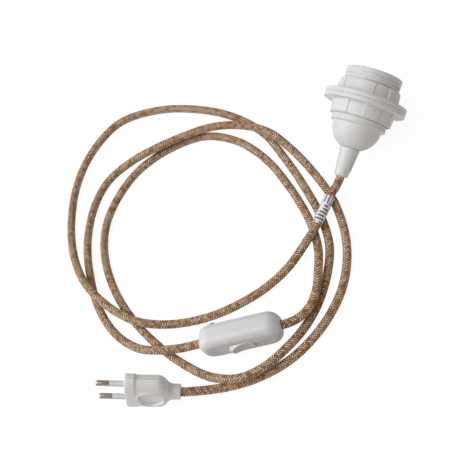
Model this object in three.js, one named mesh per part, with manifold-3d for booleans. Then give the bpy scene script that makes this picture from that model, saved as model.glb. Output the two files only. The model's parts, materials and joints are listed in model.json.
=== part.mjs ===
// A pendant cord set: a screw-shell lampholder with two shade rings, a round textile cord with an inline
// rocker switch, and a flat two-pin plug. It lies on a table with the cord in loose loops.
// Millimetres, +Z up, the table is z = 0. The lampholder's mouth points towards +Y and the origin is on the
// table under the middle of the lampholder.

import * as THREE from 'three';
import { mergeVertices } from 'three/addons/utils/BufferGeometryUtils.js';
import Module from 'manifold-3d';

const wasm = await Module();
wasm.setup();

// Clearances
const GAP = 0.3;
const SEAM = 0.2;

// Cord
const CORD_D = 6;
const CORD_R = CORD_D / 2;
const CORD_SIDES = 10;
const CORD_BORE = CORD_R + GAP;
const CORE_R = 1.1;
const CORE_SPREAD = 1.35;
const CORE_SIDES = 8;

// Lampholder: depths are measured from the mouth's rim towards the cord grip
const HOLDER_TILT = 19.5;
const THREAD_CREST_R = 19.7;
const THREAD_DEPTH = 0.7;
const THREAD_PITCH = 2.5;
const THREAD_START = 2.75;
const RIM_CHAMFER = 0.6;
const BLOCK_SEAT_R = 15.4;
const SKIRT_WALL = 2.1;
const RING_TOP = 8.75;
const RING_FLANGE_R = 28.7;
const RING_FLANGE_T = 2.9;
const RING_HEIGHT = 11.75;
const RING_WALL = 2.5;
const RING_STEP = 0.6;
const UPPER_RING_TURN = 26;
const LOWER_RING_TURN = 20;
const RING_TAPER = 0.035;
const RING_SECTORS = 12;
const RING_EDGE = 0.6;
const RING_LOWER_TRAVEL = 3;
const RING_UPPER_TRAVEL = 3;
const CAP_LIP_STEP = 0.1;
const CAP_LIP_H = 4.4;
const CAP_RIDGE = 0.45;
const CAP_DOME_R = 17.2;
const CAP_WALL = 2;
const GRIP_LENGTH = 18.6;
const GRIP_TOP_R = 7.2;
const GRIP_END_R = 4.8;
const GRIP_NIPPLE_R = 4.9;
const GRIP_NIPPLE_L = 5;
const LOCKNUT_R = 8;
const LOCKNUT_T = 2.4;
const LAMP_BORE_R = 12.2;
const LAMP_ROOT_R = 13.3;
const LAMP_PITCH = 3.63;
const LAMP_TURNS = 5;
const LAMP_SHEET = 0.4;
const LAMP_SHELL_TOP = 10;
const BLOCK_R = 15;
const BLOCK_T = 8;
const BLOCK_FLOOR_T = 3;
const TERMINAL_X = 8.2;
const TERMINAL_L = 6.4;
const TERMINAL_SIZE = 5;
const TERMINAL_OFFSET = 1.5;
const HOLDER_SCREW_R = 1.1;

// Inline switch: x along the cord, y across, z from the back to the rocker
const SWITCH_L = 57;
const SWITCH_W = 23.4;
const SWITCH_T = 17.4;
const SWITCH_WALL = 1.8;
const SWITCH_CORNER = 9.5;
const SWITCH_BEVEL = 6;
const SWITCH_STEPS = 4;
const SWITCH_SEAM_Z = -4.7;
const SWITCH_AZIMUTH = 35.5;
const SWITCH_ROLL = 8;
const SWITCH_X = -15.9;
const SWITCH_Y = -165.3;
const ROCKER_R = 10.4;
const ROCKER_W = 10.4;
const ROCKER_PIVOT_Z = 4;
const ROCKER_TILT = 10;
const ROCKER_HUMP = 6.9;
const ROCKER_DIP = 5.6;
const PIVOT_R = 1.2;
const CHEEK_T = 1.4;
const SCREW_R = 1.25;
const SCREW_HEAD_R = 2.2;
const SCREW_HEAD_T = 1.5;
const CLAMP_X = 22.3;
const CLAMP_W = 3.6;
const CLAMP_SCREW_Y = 5.9;
const HOUSING_SCREW_X = 17;
const HOUSING_SCREW_Y = 8.4;

// Plug: x along the pins, y from pin to pin, z through the thickness
const PLUG_W = 35;
const PLUG_FLAT_W = 21.6;
const PLUG_T = 13.7;
const PLUG_BODY = 36;
const PLUG_HEAD = 7;
const PLUG_STEP = 1.1;
const PLUG_FULL = 21;
const PLUG_NECK_R = 5.2;
const PLUG_NECK_L = 4.5;
const PLUG_WALL = 2;
const RECESS_R = 8.4;
const RECESS_X = -16.5;
const RECESS_DEPTH = 1.3;
const PIN_R = 2;
const PIN_LENGTH = 19;
const PIN_SLEEVE = 10;
const SLEEVE_WALL = 0.35;
const PIN_SPACING = 18.6;
const PIN_ROOT = 9.5;
const PLUG_CLAMP_X = -24.5;
const PLUG_SCREW_X = -11;
const PLUG_X = -67.6;
const PLUG_Y = -230.5;
const PLUG_AZIMUTH = 205.6;
const PLUG_PITCH = 18.9;
const PLUG_ROLL = 286.4;

// The cord's course between the lampholder and the switch, and between the switch and the plug. The points were
// picked along the cord where it lies, and the first and last are set by the pieces that it runs into.
const HOLDER_RUN = [
  [-0.2, -44, 9.45], [-1, -52.5, 9.8], [-1, -76.5, 10], [-2.5, -89, 9.9], [-9, -111, 4.6], [-21, -134, 3.1],
  [-43, -159.5, 3.1], [-68, -177, 4.4], [-88, -185.5, 9.7], [-107, -186.5, 10], [-126, -183.5, 10],
  [-145, -177, 10], [-161, -167, 8.6], [-178, -152.5, 3.9], [-191, -133.5, 3.1], [-202.5, -105, 3.1],
  [-204.5, -75, 3.1], [-195, -46, 3.1], [-168, -26, 3.1], [-135, -15.5, 3.1], [-103, -13, 3.1], [-73, -19, 3.1],
  [-45, -35, 3.1], [-21, -52, 3.1], [-2, -68, 3.1], [11.5, -85, 3.1], [18, -103, 3.1], [21, -125, 3.1],
  [19.5, -144, 3.9], [15.5, -161, 8], [8, -178, 10], [-5, -192, 10], [-23, -198.5, 7.6], [-44, -199, 3.2],
  [-66, -196, 3.1], [-95, -187.5, 3.1], [-122, -173.5, 3.1], [-145, -153, 3.1], [-158, -130, 3.1],
  [-161, -105, 3.1], [-156, -79, 3.1], [-140, -54, 3.1], [-117, -35.5, 3.1], [-89, -31.5, 3.1], [-60, -39, 3.1],
  [-32, -55, 3.1], [-11, -71, 3.1], [-1.7, -80.5, 3.1], [7, -92, 6.6], [13.5, -105, 9.9], [18, -118, 10.1],
  [19, -130, 10.5], [15.55, -140.3, 11.5],
];
const PLUG_RUN = [
  [-52, -190.5, 10.8], [-67, -198, 10], [-84, -202.5, 6], [-107, -200, 3.1], [-130, -188, 3.1],
  [-149, -170, 3.1], [-166, -147, 3.1], [-176.5, -119, 3.1], [-176.5, -95, 3.1], [-166.5, -79, 6.2],
  [-152, -64.5, 10], [-130, -43, 10], [-111, -29, 10], [-89, -21, 10], [-66, -20, 10], [-46, -26, 7.4],
  [-22, -37.5, 3.1], [2, -54.5, 3.1], [21, -78, 3.1], [31, -105, 3.1], [31, -133, 3.1], [21.5, -163, 3.1],
  [6, -184.5, 3.1], [-12, -200, 3.6],
];
const LABEL_STRETCH = HOLDER_RUN.slice(1, 3);
const LABEL_INSET = 1.2;
const LABEL_WALL = 0.35;

// Materials
const whitePlastic = () => new THREE.MeshStandardMaterial({ color: 0xeeeeec, roughness: 0.45, metalness: 0 });
const greyPlastic = () => new THREE.MeshStandardMaterial({ color: 0xd9d8d5, roughness: 0.5, metalness: 0 });
const ceramic = () => new THREE.MeshStandardMaterial({ color: 0xe9e4d8, roughness: 0.6, metalness: 0 });
const brass = () => new THREE.MeshStandardMaterial({ color: 0xc9a85c, roughness: 0.35, metalness: 1 });
const nickel = () => new THREE.MeshStandardMaterial({ color: 0xb4b0aa, roughness: 0.3, metalness: 1 });
const steel = () => new THREE.MeshStandardMaterial({ color: 0xa3a6a8, roughness: 0.4, metalness: 1 });
const textile = () => new THREE.MeshStandardMaterial({ color: 0xa5845f, roughness: 0.9, metalness: 0 });
const paper = () => new THREE.MeshStandardMaterial({ color: 0xe6e9ec, roughness: 0.5, metalness: 0 });
const brownCore = () => new THREE.MeshStandardMaterial({ color: 0x6b4226, roughness: 0.5, metalness: 0 });
const blueCore = () => new THREE.MeshStandardMaterial({ color: 0x2f66a8, roughness: 0.5, metalness: 0 });

// Geometry helpers

const WELD = 1e-3;
const radians = THREE.MathUtils.degToRad;

// The same surface with shared corners, no flat triangles, and its faces pointing out.
function closed(geometry) {
  const bare = new THREE.BufferGeometry();
  bare.setAttribute('position', geometry.getAttribute('position').clone());
  if (geometry.index) bare.setIndex(geometry.index.clone());
  const merged = mergeVertices(bare, WELD);
  const corner = merged.getAttribute('position');
  const source = merged.index.array;
  const faces = [];
  let volume = 0;
  const [a, b, c] = [new THREE.Vector3(), new THREE.Vector3(), new THREE.Vector3()];
  for (let i = 0; i < source.length; i += 3) {
    const [p, q, r] = [source[i], source[i + 1], source[i + 2]];
    if (p === q || q === r || r === p) continue;
    faces.push([p, q, r]);
    a.fromBufferAttribute(corner, p);
    b.fromBufferAttribute(corner, q);
    c.fromBufferAttribute(corner, r);
    volume += a.dot(b.clone().cross(c));
  }
  merged.setIndex(faces.flatMap(([p, q, r]) => (volume < 0 ? [p, r, q] : [p, q, r])));
  return merged;
}

function toSolid(geometry) {
  const mesh = closed(geometry);
  return new wasm.Manifold(new wasm.Mesh({
    numProp: 3,
    vertProperties: new Float32Array(mesh.getAttribute('position').array),
    triVerts: new Uint32Array(mesh.index.array),
  }));
}

function toGeometry(solid) {
  const mesh = solid.getMesh();
  const geometry = new THREE.BufferGeometry();
  geometry.setAttribute('position', new THREE.BufferAttribute(mesh.vertProperties, 3));
  geometry.setIndex(new THREE.BufferAttribute(mesh.triVerts, 1));
  return geometry;
}

const join = (...parts) => parts.map(toSolidOnce).reduce((whole, part) => whole.add(part));
const cut = (body, ...tools) => tools.map(toSolidOnce).reduce((rest, tool) => rest.subtract(tool), toSolidOnce(body));
const common = (body, tool) => toSolidOnce(body).intersect(toSolidOnce(tool));
function toSolidOnce(part) {
  return part.isBufferGeometry ? toSolid(part) : part;
}

// A solid of revolution about Z from [radius, height] pairs; the outline closes on itself unless it meets the axis.
function turned(outline, sides = 48) {
  const points = outline.map(([r, z]) => new THREE.Vector2(r, z));
  if (outline[0][0] > 0) points.push(points[0].clone());
  return new THREE.LatheGeometry(points, sides).rotateX(Math.PI / 2);
}

function block(x0, x1, y0, y1, z0, z1) {
  return new THREE.BoxGeometry(x1 - x0, y1 - y0, z1 - z0).translate((x0 + x1) / 2, (y0 + y1) / 2, (z0 + z1) / 2);
}

// A cylinder along one axis, centred on the two other coordinates.
function rod(axis, radius, from, to, at = [0, 0], sides = 20) {
  const geometry = new THREE.CylinderGeometry(radius, radius, to - from, sides);
  const middle = (from + to) / 2;
  if (axis === 'x') return geometry.rotateZ(Math.PI / 2).translate(middle, at[0], at[1]);
  if (axis === 'y') return geometry.translate(at[0], middle, at[1]);
  return geometry.rotateX(Math.PI / 2).translate(at[0], at[1], middle);
}

function roundedRect(w, h, r) {
  const shape = new THREE.Shape();
  shape.moveTo(-w / 2 + r, -h / 2);
  shape.lineTo(w / 2 - r, -h / 2);
  shape.absarc(w / 2 - r, -h / 2 + r, r, -Math.PI / 2, 0);
  shape.lineTo(w / 2, h / 2 - r);
  shape.absarc(w / 2 - r, h / 2 - r, r, 0, Math.PI / 2);
  shape.lineTo(-w / 2 + r, h / 2);
  shape.absarc(-w / 2 + r, h / 2 - r, r, Math.PI / 2, Math.PI);
  shape.lineTo(-w / 2, -h / 2 + r);
  shape.absarc(-w / 2 + r, -h / 2 + r, r, Math.PI, 1.5 * Math.PI);
  return shape;
}

// A pillow-edged slab of the given outer size, centred on the origin.
function pillow(w, h, t, corner, bevel, segments = SWITCH_STEPS) {
  const shape = roundedRect(w - 2 * bevel, h - 2 * bevel, Math.max(corner - bevel, 0.4));
  return new THREE.ExtrudeGeometry(shape, {
    depth: t - 2 * bevel, bevelThickness: bevel, bevelSize: bevel, bevelSegments: segments, curveSegments: 4,
  }).translate(0, 0, bevel - t / 2);
}

// A smooth curve whose rings fall on the points that it was given.
class Course extends THREE.CatmullRomCurve3 {
  getPointAt(u, target) {
    return this.getPoint(u, target);
  }

  getTangentAt(u, target) {
    return this.getTangent(u, target);
  }
}

function circle(radius, sides) {
  const corners = Array.from({ length: sides }, (_, k) => (2 * Math.PI * (k + 0.5)) / sides);
  return new THREE.Shape(corners.map((angle) => new THREE.Vector2(radius * Math.cos(angle), radius * Math.sin(angle))));
}

// A round tube with one ring at each point.
function tube(points, radius, sides = CORE_SIDES) {
  const course = new Course(points.map((p) => new THREE.Vector3(...p)));
  const steps = points.length - 1;
  return new THREE.ExtrudeGeometry(circle(radius, sides), { steps, extrudePath: course });
}

// A bent strip of sheet: a line of [u, v] points thickened to one side, as wide as from w0 to w1.
function strip(line, thickness, w0, w1) {
  const points = line.map(([u, v]) => new THREE.Vector2(u, v));
  const offset = points.map((p, i) => {
    const before = points[Math.max(i - 1, 0)];
    const after = points[Math.min(i + 1, points.length - 1)];
    const along = after.clone().sub(before).normalize();
    return new THREE.Vector2(p.x - along.y * thickness, p.y + along.x * thickness);
  });
  const shape = new THREE.Shape([...points, ...offset.reverse()]);
  return new THREE.ExtrudeGeometry(shape, { depth: w1 - w0, bevelEnabled: false }).translate(0, 0, w0);
}

// A cheese-head screw along -z from the underside of its head, with a slot.
function screw(headR, headT, shankR, shankL) {
  const body = join(rod('z', headR, 0, headT, [0, 0], 16), rod('z', shankR, -shankL, 0.1, [0, 0], 12));
  const slotW = headR * 0.22;
  return cut(body, block(-headR * 1.2, headR * 1.2, -slotW, slotW, headT * 0.55, headT + 1));
}

const moved = (solid, x, y, z) => toSolidOnce(solid).translate([x, y, z]);

const model = new THREE.Group();

function addTo(group, name, shape, material) {
  const geometry = shape.isBufferGeometry ? closed(shape) : closed(toGeometry(shape));
  const mesh = new THREE.Mesh(geometry, material);
  mesh.name = name;
  group.add(mesh);
}

// Lampholder, in its own frame: z runs along its axis, the rim is z = 0 and depths are negative

const ringFlangeTop = RING_TOP + RING_HEIGHT - RING_FLANGE_T;
const ringsMeet = RING_TOP + RING_HEIGHT;
const lowerFlange = ringsMeet + GAP + RING_FLANGE_T;
const lowerEnd = ringsMeet + GAP + RING_HEIGHT;
const capTop = lowerEnd + GAP;
const capLipEnd = capTop + CAP_LIP_H;
const domeCentre = capLipEnd;
const domeEnd = domeCentre + CAP_DOME_R;
const gripEnd = domeEnd + GRIP_LENGTH;
const threadRootR = THREAD_CREST_R - THREAD_DEPTH;
const skirtBoreR = threadRootR - SKIRT_WALL;
const capLipR = threadRootR + CAP_LIP_STEP;
const capBoreR = capLipR - CAP_WALL;
const ringBoreR = THREAD_CREST_R + GAP;
const ringPanelR = ringBoreR + RING_WALL;
const skirtNeckR = capBoreR - GAP;
const skirtEnd = capLipEnd - GAP;
const lampShellEnd = LAMP_SHELL_TOP + LAMP_TURNS * LAMP_PITCH + 1;
const blockTop = lampShellEnd + GAP;
const blockSeatR = skirtBoreR - GAP;
const blockEnd = blockTop + BLOCK_T;

const holderTilt = radians(HOLDER_TILT);
const contactHeight = RING_FLANGE_R * Math.cos(holderTilt);
const rimBeyondContact = lowerFlange;
const contactY = (() => {
  const front = rimBeyondContact * Math.cos(holderTilt) + (THREAD_CREST_R - RIM_CHAMFER) * Math.sin(holderTilt);
  const back = (gripEnd - rimBeyondContact) * Math.cos(holderTilt) + GRIP_END_R * Math.sin(holderTilt);
  return (back - front) / 2;
})();
const holder = new THREE.Group();
holder.rotation.x = holderTilt - Math.PI / 2;
holder.position.set(
  0,
  contactY + rimBeyondContact * Math.cos(holderTilt),
  contactHeight + rimBeyondContact * Math.sin(holderTilt),
);
model.add(holder);
holder.updateMatrixWorld(true);

// The outer skirt carries the coarse outside thread that both shade rings screw on to.
function holderSkirt() {
  const seat = blockTop + BLOCK_FLOOR_T + GAP;
  const outline = [[THREAD_CREST_R - RIM_CHAMFER, 0], [skirtBoreR, 0], [skirtBoreR, -seat], [BLOCK_SEAT_R, -seat]];
  outline.push([BLOCK_SEAT_R, -skirtEnd], [skirtNeckR, -skirtEnd], [skirtNeckR, -capTop], [threadRootR, -capTop]);
  const turns = Math.floor((lowerEnd - THREAD_START) / THREAD_PITCH);
  for (let turn = turns - 1; turn >= 0; turn -= 1) {
    const depth = THREAD_START + turn * THREAD_PITCH;
    outline.push([THREAD_CREST_R, -(depth + 0.65 * THREAD_PITCH)], [threadRootR, -(depth + 0.2 * THREAD_PITCH)]);
  }
  outline.push([THREAD_CREST_R, -THREAD_START], [THREAD_CREST_R, -RIM_CHAMFER]);
  return turned(outline, 36);
}

// A shade ring: a flat flange and a skirt of raised and sunk panels that fingers can turn.
function shadeRing() {
  const sector = (2 * Math.PI) / RING_SECTORS;
  const panels = new THREE.Shape();
  for (let k = 0; k < RING_SECTORS; k += 1) {
    const r = ringPanelR - (k % 2) * RING_STEP;
    const steps = 4;
    for (let i = 0; i <= steps; i += 1) {
      const angle = sector * (k + i / steps) + (i === 0 ? 0.004 : 0) - (i === steps ? 0.004 : 0);
      const place = [r * Math.cos(angle), r * Math.sin(angle)];
      if (k === 0 && i === 0) panels.moveTo(...place);
      else panels.lineTo(...place);
    }
  }
  const skirt = new THREE.ExtrudeGeometry(panels, { depth: RING_HEIGHT - 0.5, bevelEnabled: false });
  const places = skirt.getAttribute('position');
  for (let i = 0; i < places.count; i += 1) {
    const narrowing = 1 - (RING_TAPER * places.getZ(i)) / RING_HEIGHT;
    places.setX(i, places.getX(i) * narrowing);
    places.setY(i, places.getY(i) * narrowing);
  }
  skirt.translate(0, 0, 0.5);
  const flange = turned([
    [0, 0], [RING_FLANGE_R - RING_EDGE, 0], [RING_FLANGE_R, RING_EDGE],
    [RING_FLANGE_R, RING_FLANGE_T], [0, RING_FLANGE_T],
  ], 60);
  return cut(join(flange, skirt), rod('z', ringBoreR, -1, RING_HEIGHT + 1, [0, 0], 48));
}

// The cap screws on to the skirt's neck and holds the cord grip in its dome.
function holderCap() {
  const outline = [[capBoreR, -capTop], [capBoreR, -capLipEnd]];
  const innerR = CAP_DOME_R - CAP_WALL;
  const hole = GRIP_NIPPLE_R + GAP;
  const innerEnd = Math.acos(hole / innerR);
  const outerEnd = Math.acos(hole / CAP_DOME_R);
  const steps = 6;
  for (let i = 0; i <= steps; i += 1) {
    const angle = (innerEnd * i) / steps;
    outline.push([innerR * Math.cos(angle), -(domeCentre + innerR * Math.sin(angle))]);
  }
  for (let i = steps; i >= 0; i -= 1) {
    const angle = (outerEnd * i) / steps;
    outline.push([CAP_DOME_R * Math.cos(angle), -(domeCentre + CAP_DOME_R * Math.sin(angle))]);
  }
  const ridge = capLipR + CAP_RIDGE;
  outline.push([capLipR, -domeCentre + 0.2], [ridge, -capLipEnd + 0.6], [ridge, -capLipEnd + 1.3]);
  outline.push([capLipR, -capLipEnd + 1.8], [capLipR, -capTop - 1.2], [ridge, -capTop - 0.9], [ridge, -capTop - 0.2]);
  outline.push([capLipR, -capTop]);
  return turned(outline, 36);
}

// The grip's foot follows the dome, its nipple goes through the dome's hole, and its cone ends on the cord.
function cordGrip() {
  const footR = Math.sqrt((CAP_DOME_R + GAP) ** 2 - GRIP_TOP_R ** 2);
  const foot = (r) => -(domeCentre + Math.sqrt((CAP_DOME_R + GAP) ** 2 - r ** 2));
  const nippleTop = -(domeCentre + CAP_DOME_R - CAP_WALL - GRIP_NIPPLE_L);
  return turned([
    [CORD_BORE, -gripEnd], [CORD_BORE, nippleTop], [GRIP_NIPPLE_R, nippleTop],
    [GRIP_NIPPLE_R, foot(GRIP_NIPPLE_R)], [GRIP_TOP_R, foot(GRIP_TOP_R)],
    [GRIP_TOP_R, -(domeCentre + footR + 1.6)], [GRIP_END_R, -gripEnd],
  ], 24);
}

// The locknut sits in the dome on the grip's nipple.
function gripLocknut() {
  const innerR = CAP_DOME_R - CAP_WALL;
  const seat = -(domeCentre + Math.sqrt(innerR ** 2 - LOCKNUT_R ** 2)) + GAP;
  const nut = new THREE.CylinderGeometry(LOCKNUT_R, LOCKNUT_R, LOCKNUT_T, 6).rotateX(Math.PI / 2);
  nut.translate(0, 0, seat + LOCKNUT_T / 2);
  return cut(nut, rod('z', GRIP_NIPPLE_R + GAP, seat - 1, seat + LOCKNUT_T + 1, [0, 0], 24));
}

// The rolled metal shell that the lamp cap screws into.
function lampShell() {
  const inner = [[LAMP_ROOT_R, -LAMP_SHELL_TOP]];
  for (let turn = 0; turn < LAMP_TURNS; turn += 1) {
    const depth = LAMP_SHELL_TOP + turn * LAMP_PITCH;
    inner.push([LAMP_ROOT_R, -(depth + 0.25 * LAMP_PITCH)], [LAMP_BORE_R, -(depth + 0.75 * LAMP_PITCH)]);
  }
  inner.push([LAMP_ROOT_R, -lampShellEnd]);
  const outer = inner.map(([r, z]) => [r + LAMP_SHEET, z]).reverse();
  return turned([...inner, ...outer], 28);
}

// The terminal block stands on the skirt's lower end and carries the shell, the contact and both terminals.
function terminalBlock() {
  const body = join(
    turned([[0, -blockTop], [blockSeatR, -blockTop], [blockSeatR, -(blockTop + BLOCK_FLOOR_T)], [0, -(blockTop + BLOCK_FLOOR_T)]], 40),
    rod('z', BLOCK_R, -blockEnd, -blockTop - 1, [0, 0], 40),
  );
  const pocket = (side) => block(
    side * TERMINAL_X - TERMINAL_L / 2 - GAP, side * TERMINAL_X + TERMINAL_L / 2 + GAP,
    -TERMINAL_SIZE / 2 - GAP, TERMINAL_SIZE / 2 + GAP,
    -blockEnd - 1, -(blockTop + BLOCK_FLOOR_T),
  );
  const rivetHole = rod('z', 1.2 + GAP, -blockEnd - 1, -blockTop + 1, [0, 0], 16);
  const slot = block(TERMINAL_X - 1.6, TERMINAL_X + 1.6, -0.6, 0.6, -blockEnd, -blockTop + 1);
  return cut(body, pocket(1), pocket(-1), rivetHole, slot);
}

// A brass terminal in the block, with a hole for the core and a tapped hole for its screw.
const terminalTop = blockTop + BLOCK_FLOOR_T + GAP;
const terminalEnd = terminalTop + TERMINAL_SIZE;
const coreHoleX = TERMINAL_X - TERMINAL_OFFSET;
const coreHoleEnd = terminalEnd - 3.4;
function holderTerminal(side) {
  const x = side * TERMINAL_X;
  const half = TERMINAL_SIZE / 2;
  const body = block(x - TERMINAL_L / 2, x + TERMINAL_L / 2, -half, half, -terminalEnd, -terminalTop);
  const coreHole = rod('z', CORE_R + GAP / 2, -terminalEnd - 1, -coreHoleEnd, [side * coreHoleX, 0], 12);
  const screwHole = rod('z', HOLDER_SCREW_R + GAP / 2, -terminalEnd - 1, -coreHoleEnd, [side * (TERMINAL_X + TERMINAL_OFFSET), 0], 12);
  return cut(body, coreHole, screwHole);
}

// The sprung tongue that meets the lamp's foot, riveted through the block.
function centreContact() {
  const lift = blockTop - GAP;
  const leaf = strip([[-5.5, -lift + 0.05], [-1, -lift + 0.05], [2.5, -lift + 3.2], [5, -lift + 2.4]], 0.5, -2.2, 2.2);
  leaf.rotateX(Math.PI / 2);
  const rivet = rod('z', 1.2, -(blockTop + 2.5), -lift + 0.3, [-1.6, 0], 12);
  return join(leaf, rivet.translate(1.6, 0, 0));
}

function holderScrew(side) {
  const body = screw(1.5, 1.2, HOLDER_SCREW_R, 2.4);
  return body.rotate([180, 0, 0]).translate([side * (TERMINAL_X + TERMINAL_OFFSET), 0, -(terminalEnd + GAP)]);
}

// The two cores run from the grip's bore to the terminals.
function holderCore(side) {
  const x = side * CORE_SPREAD;
  const hole = side * coreHoleX;
  return tube([
    [x, 0, -(gripEnd - 1)], [x, 0, -(domeEnd + 2)], [x, 0, -(domeEnd - 6)],
    [hole * 0.6, 0, -(blockEnd + 4.4)], [hole, 0, -(blockEnd + 1.6)], [hole, 0, -(coreHoleEnd + GAP)],
  ], CORE_R, CORE_SIDES);
}

addTo(holder, 'holder_skirt', holderSkirt(), whitePlastic());
const upperRing = shadeRing().rotate([0, 0, UPPER_RING_TURN]);
const lowerRing = shadeRing().rotate([180, 0, LOWER_RING_TURN]);
addTo(holder, 'shade_ring_upper', moved(upperRing, 0, 0, -ringsMeet), whitePlastic());
addTo(holder, 'shade_ring_lower', moved(lowerRing, 0, 0, -(ringsMeet + GAP)), whitePlastic());
addTo(holder, 'holder_cap', holderCap(), whitePlastic());
addTo(holder, 'cord_grip', cordGrip(), whitePlastic());
addTo(holder, 'grip_locknut', gripLocknut(), greyPlastic());
addTo(holder, 'lamp_thread_shell', lampShell(), brass());
addTo(holder, 'terminal_block', terminalBlock(), ceramic());
addTo(holder, 'centre_contact', centreContact(), brass());
for (const [name, side] of [['live', 1], ['neutral', -1]]) {
  addTo(holder, `holder_terminal_${name}`, holderTerminal(side), brass());
  addTo(holder, `holder_screw_${name}`, holderScrew(side), steel());
  addTo(holder, `holder_core_${name}`, holderCore(side), name === 'live' ? brownCore() : blueCore());
}

// How far a shape reaches below its own origin once it is turned.
function reachBelow(shape, turn) {
  const places = closed(toGeometry(shape)).applyMatrix4(turn).getAttribute('position');
  return -new THREE.Box3().setFromBufferAttribute(places).min.z;
}

// Switch, lying on its long side and rolled back a little, so the rocker faces outwards and slightly up

const switchBody = new THREE.Group();
const along = new THREE.Vector3(Math.cos(radians(SWITCH_AZIMUTH)), Math.sin(radians(SWITCH_AZIMUTH)), 0);
const upwards = new THREE.Vector3(0, 0, 1).applyAxisAngle(along, -radians(SWITCH_ROLL));
const outwards = along.clone().cross(upwards);
const switchTurn = new THREE.Matrix4().makeBasis(along, upwards, outwards);
const switchOutside = () => pillow(SWITCH_L, SWITCH_W, SWITCH_T, SWITCH_CORNER, SWITCH_BEVEL);
switchBody.matrixAutoUpdate = false;
switchBody.matrix.copy(switchTurn).setPosition(SWITCH_X, SWITCH_Y, reachBelow(join(switchOutside()), switchTurn));
model.add(switchBody);
switchBody.updateMatrixWorld(true);

const innerL = SWITCH_L - 2 * SWITCH_WALL;
const innerW = SWITCH_W - 2 * SWITCH_WALL;
const innerT = SWITCH_T - 2 * SWITCH_WALL;
const backZ = -SWITCH_T / 2;
const frontZ = SWITCH_T / 2;
const floorZ = backZ + SWITCH_WALL;
const ceilingZ = frontZ - SWITCH_WALL;
const coverEdgeZ = SWITCH_SEAM_Z + SEAM / 2;
const baseEdgeZ = SWITCH_SEAM_Z - SEAM / 2;

function switchShell(z0, z1) {
  const inside = pillow(innerL, innerW, innerT, SWITCH_CORNER - SWITCH_WALL, SWITCH_BEVEL - SWITCH_WALL);
  return common(cut(switchOutside(), inside), block(-SWITCH_L, SWITCH_L, -SWITCH_W, SWITCH_W, z0, z1));
}

// Positions of the two housing screws, at opposite corners.
const housingScrews = [[-HOUSING_SCREW_X, HOUSING_SCREW_Y - 1], [HOUSING_SCREW_X, -(HOUSING_SCREW_Y - 1)]];

function switchCover() {
  const boss = ([x, y]) => common(
    rod('z', 2.4, coverEdgeZ, frontZ, [x, y], 16),
    pillow(SWITCH_L - 0.4, SWITCH_W - 0.4, SWITCH_T - 0.4, SWITCH_CORNER, SWITCH_BEVEL),
  );
  const cheekY = ROCKER_W / 2 + GAP;
  const cheek = (side) => block(-3.2, 3.2, Math.min(side * cheekY, side * (cheekY + CHEEK_T)),
    Math.max(side * cheekY, side * (cheekY + CHEEK_T)), ROCKER_PIVOT_Z - 2.6, ceilingZ + 0.5);
  const body = join(switchShell(coverEdgeZ, frontZ + 1), ...housingScrews.map(boss), cheek(1), cheek(-1));
  const window = common(
    rod('y', ROCKER_R + GAP, -ROCKER_W / 2 - GAP, ROCKER_W / 2 + GAP, [0, ROCKER_PIVOT_Z], 64),
    block(-ROCKER_R, ROCKER_R, -ROCKER_W, ROCKER_W, ROCKER_PIVOT_Z - 1, frontZ + 4),
  );
  const pivotHoles = rod('y', PIVOT_R + GAP / 2, -cheekY - CHEEK_T - 1, cheekY + CHEEK_T + 1, [0, ROCKER_PIVOT_Z], 16);
  const cordHole = rod('x', CORD_BORE, -SWITCH_L, SWITCH_L, [0, 0], 24);
  const entries = common(
    join(cordHole, block(-SWITCH_L, SWITCH_L, -CORD_BORE, CORD_BORE, SWITCH_SEAM_Z - 1, 0)),
    cut(block(-SWITCH_L, SWITCH_L, -9, 9, -9, 9), block(-innerL / 2 + 3, innerL / 2 - 3, -9, 9, -9, 9)),
  );
  const pilots = housingScrews.map(([x, y]) => rod('z', SCREW_R + GAP / 2, coverEdgeZ - 1, 3.5, [x, y], 12));
  return cut(body, window, pivotHoles, entries, ...pilots);
}

function switchBase() {
  const tongue = (side) => {
    const x = side * (SWITCH_L / 2 - SWITCH_WALL / 2);
    const fill = block(x - 0.6, x + 0.6, -CORD_BORE + GAP, CORD_BORE - GAP, baseEdgeZ - 0.5, 0);
    return cut(fill, rod('x', CORD_BORE, -SWITCH_L, SWITCH_L, [0, 0], 24));
  };
  const post = ([x, y]) => rod('z', 2.6, floorZ - 0.5, baseEdgeZ, [x, y], 16);
  const clampPost = (x, y) => rod('z', 1.7, floorZ - 0.5, -CORD_R - 0.2, [x, y], 12);
  const posts = [-1, 1].flatMap((end) => [-1, 1].map((side) => clampPost(end * CLAMP_X, side * CLAMP_SCREW_Y)));
  const body = join(switchShell(backZ - 1, baseEdgeZ), tongue(1), tongue(-1), ...housingScrews.map(post), ...posts);
  const screwHoles = housingScrews.flatMap(([x, y]) => [
    rod('z', SCREW_R + GAP, backZ - 1, baseEdgeZ + 1, [x, y], 12),
    rod('z', SCREW_HEAD_R + GAP, backZ - 1, backZ + SCREW_HEAD_T + 0.4, [x, y], 16),
  ]);
  const clampHoles = [-1, 1].flatMap((end) => [-1, 1].map(
    (side) => rod('z', 0.8 + GAP / 2, floorZ, 0, [end * CLAMP_X, side * CLAMP_SCREW_Y], 10),
  ));
  return cut(body, ...screwHoles, ...clampHoles);
}

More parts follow.
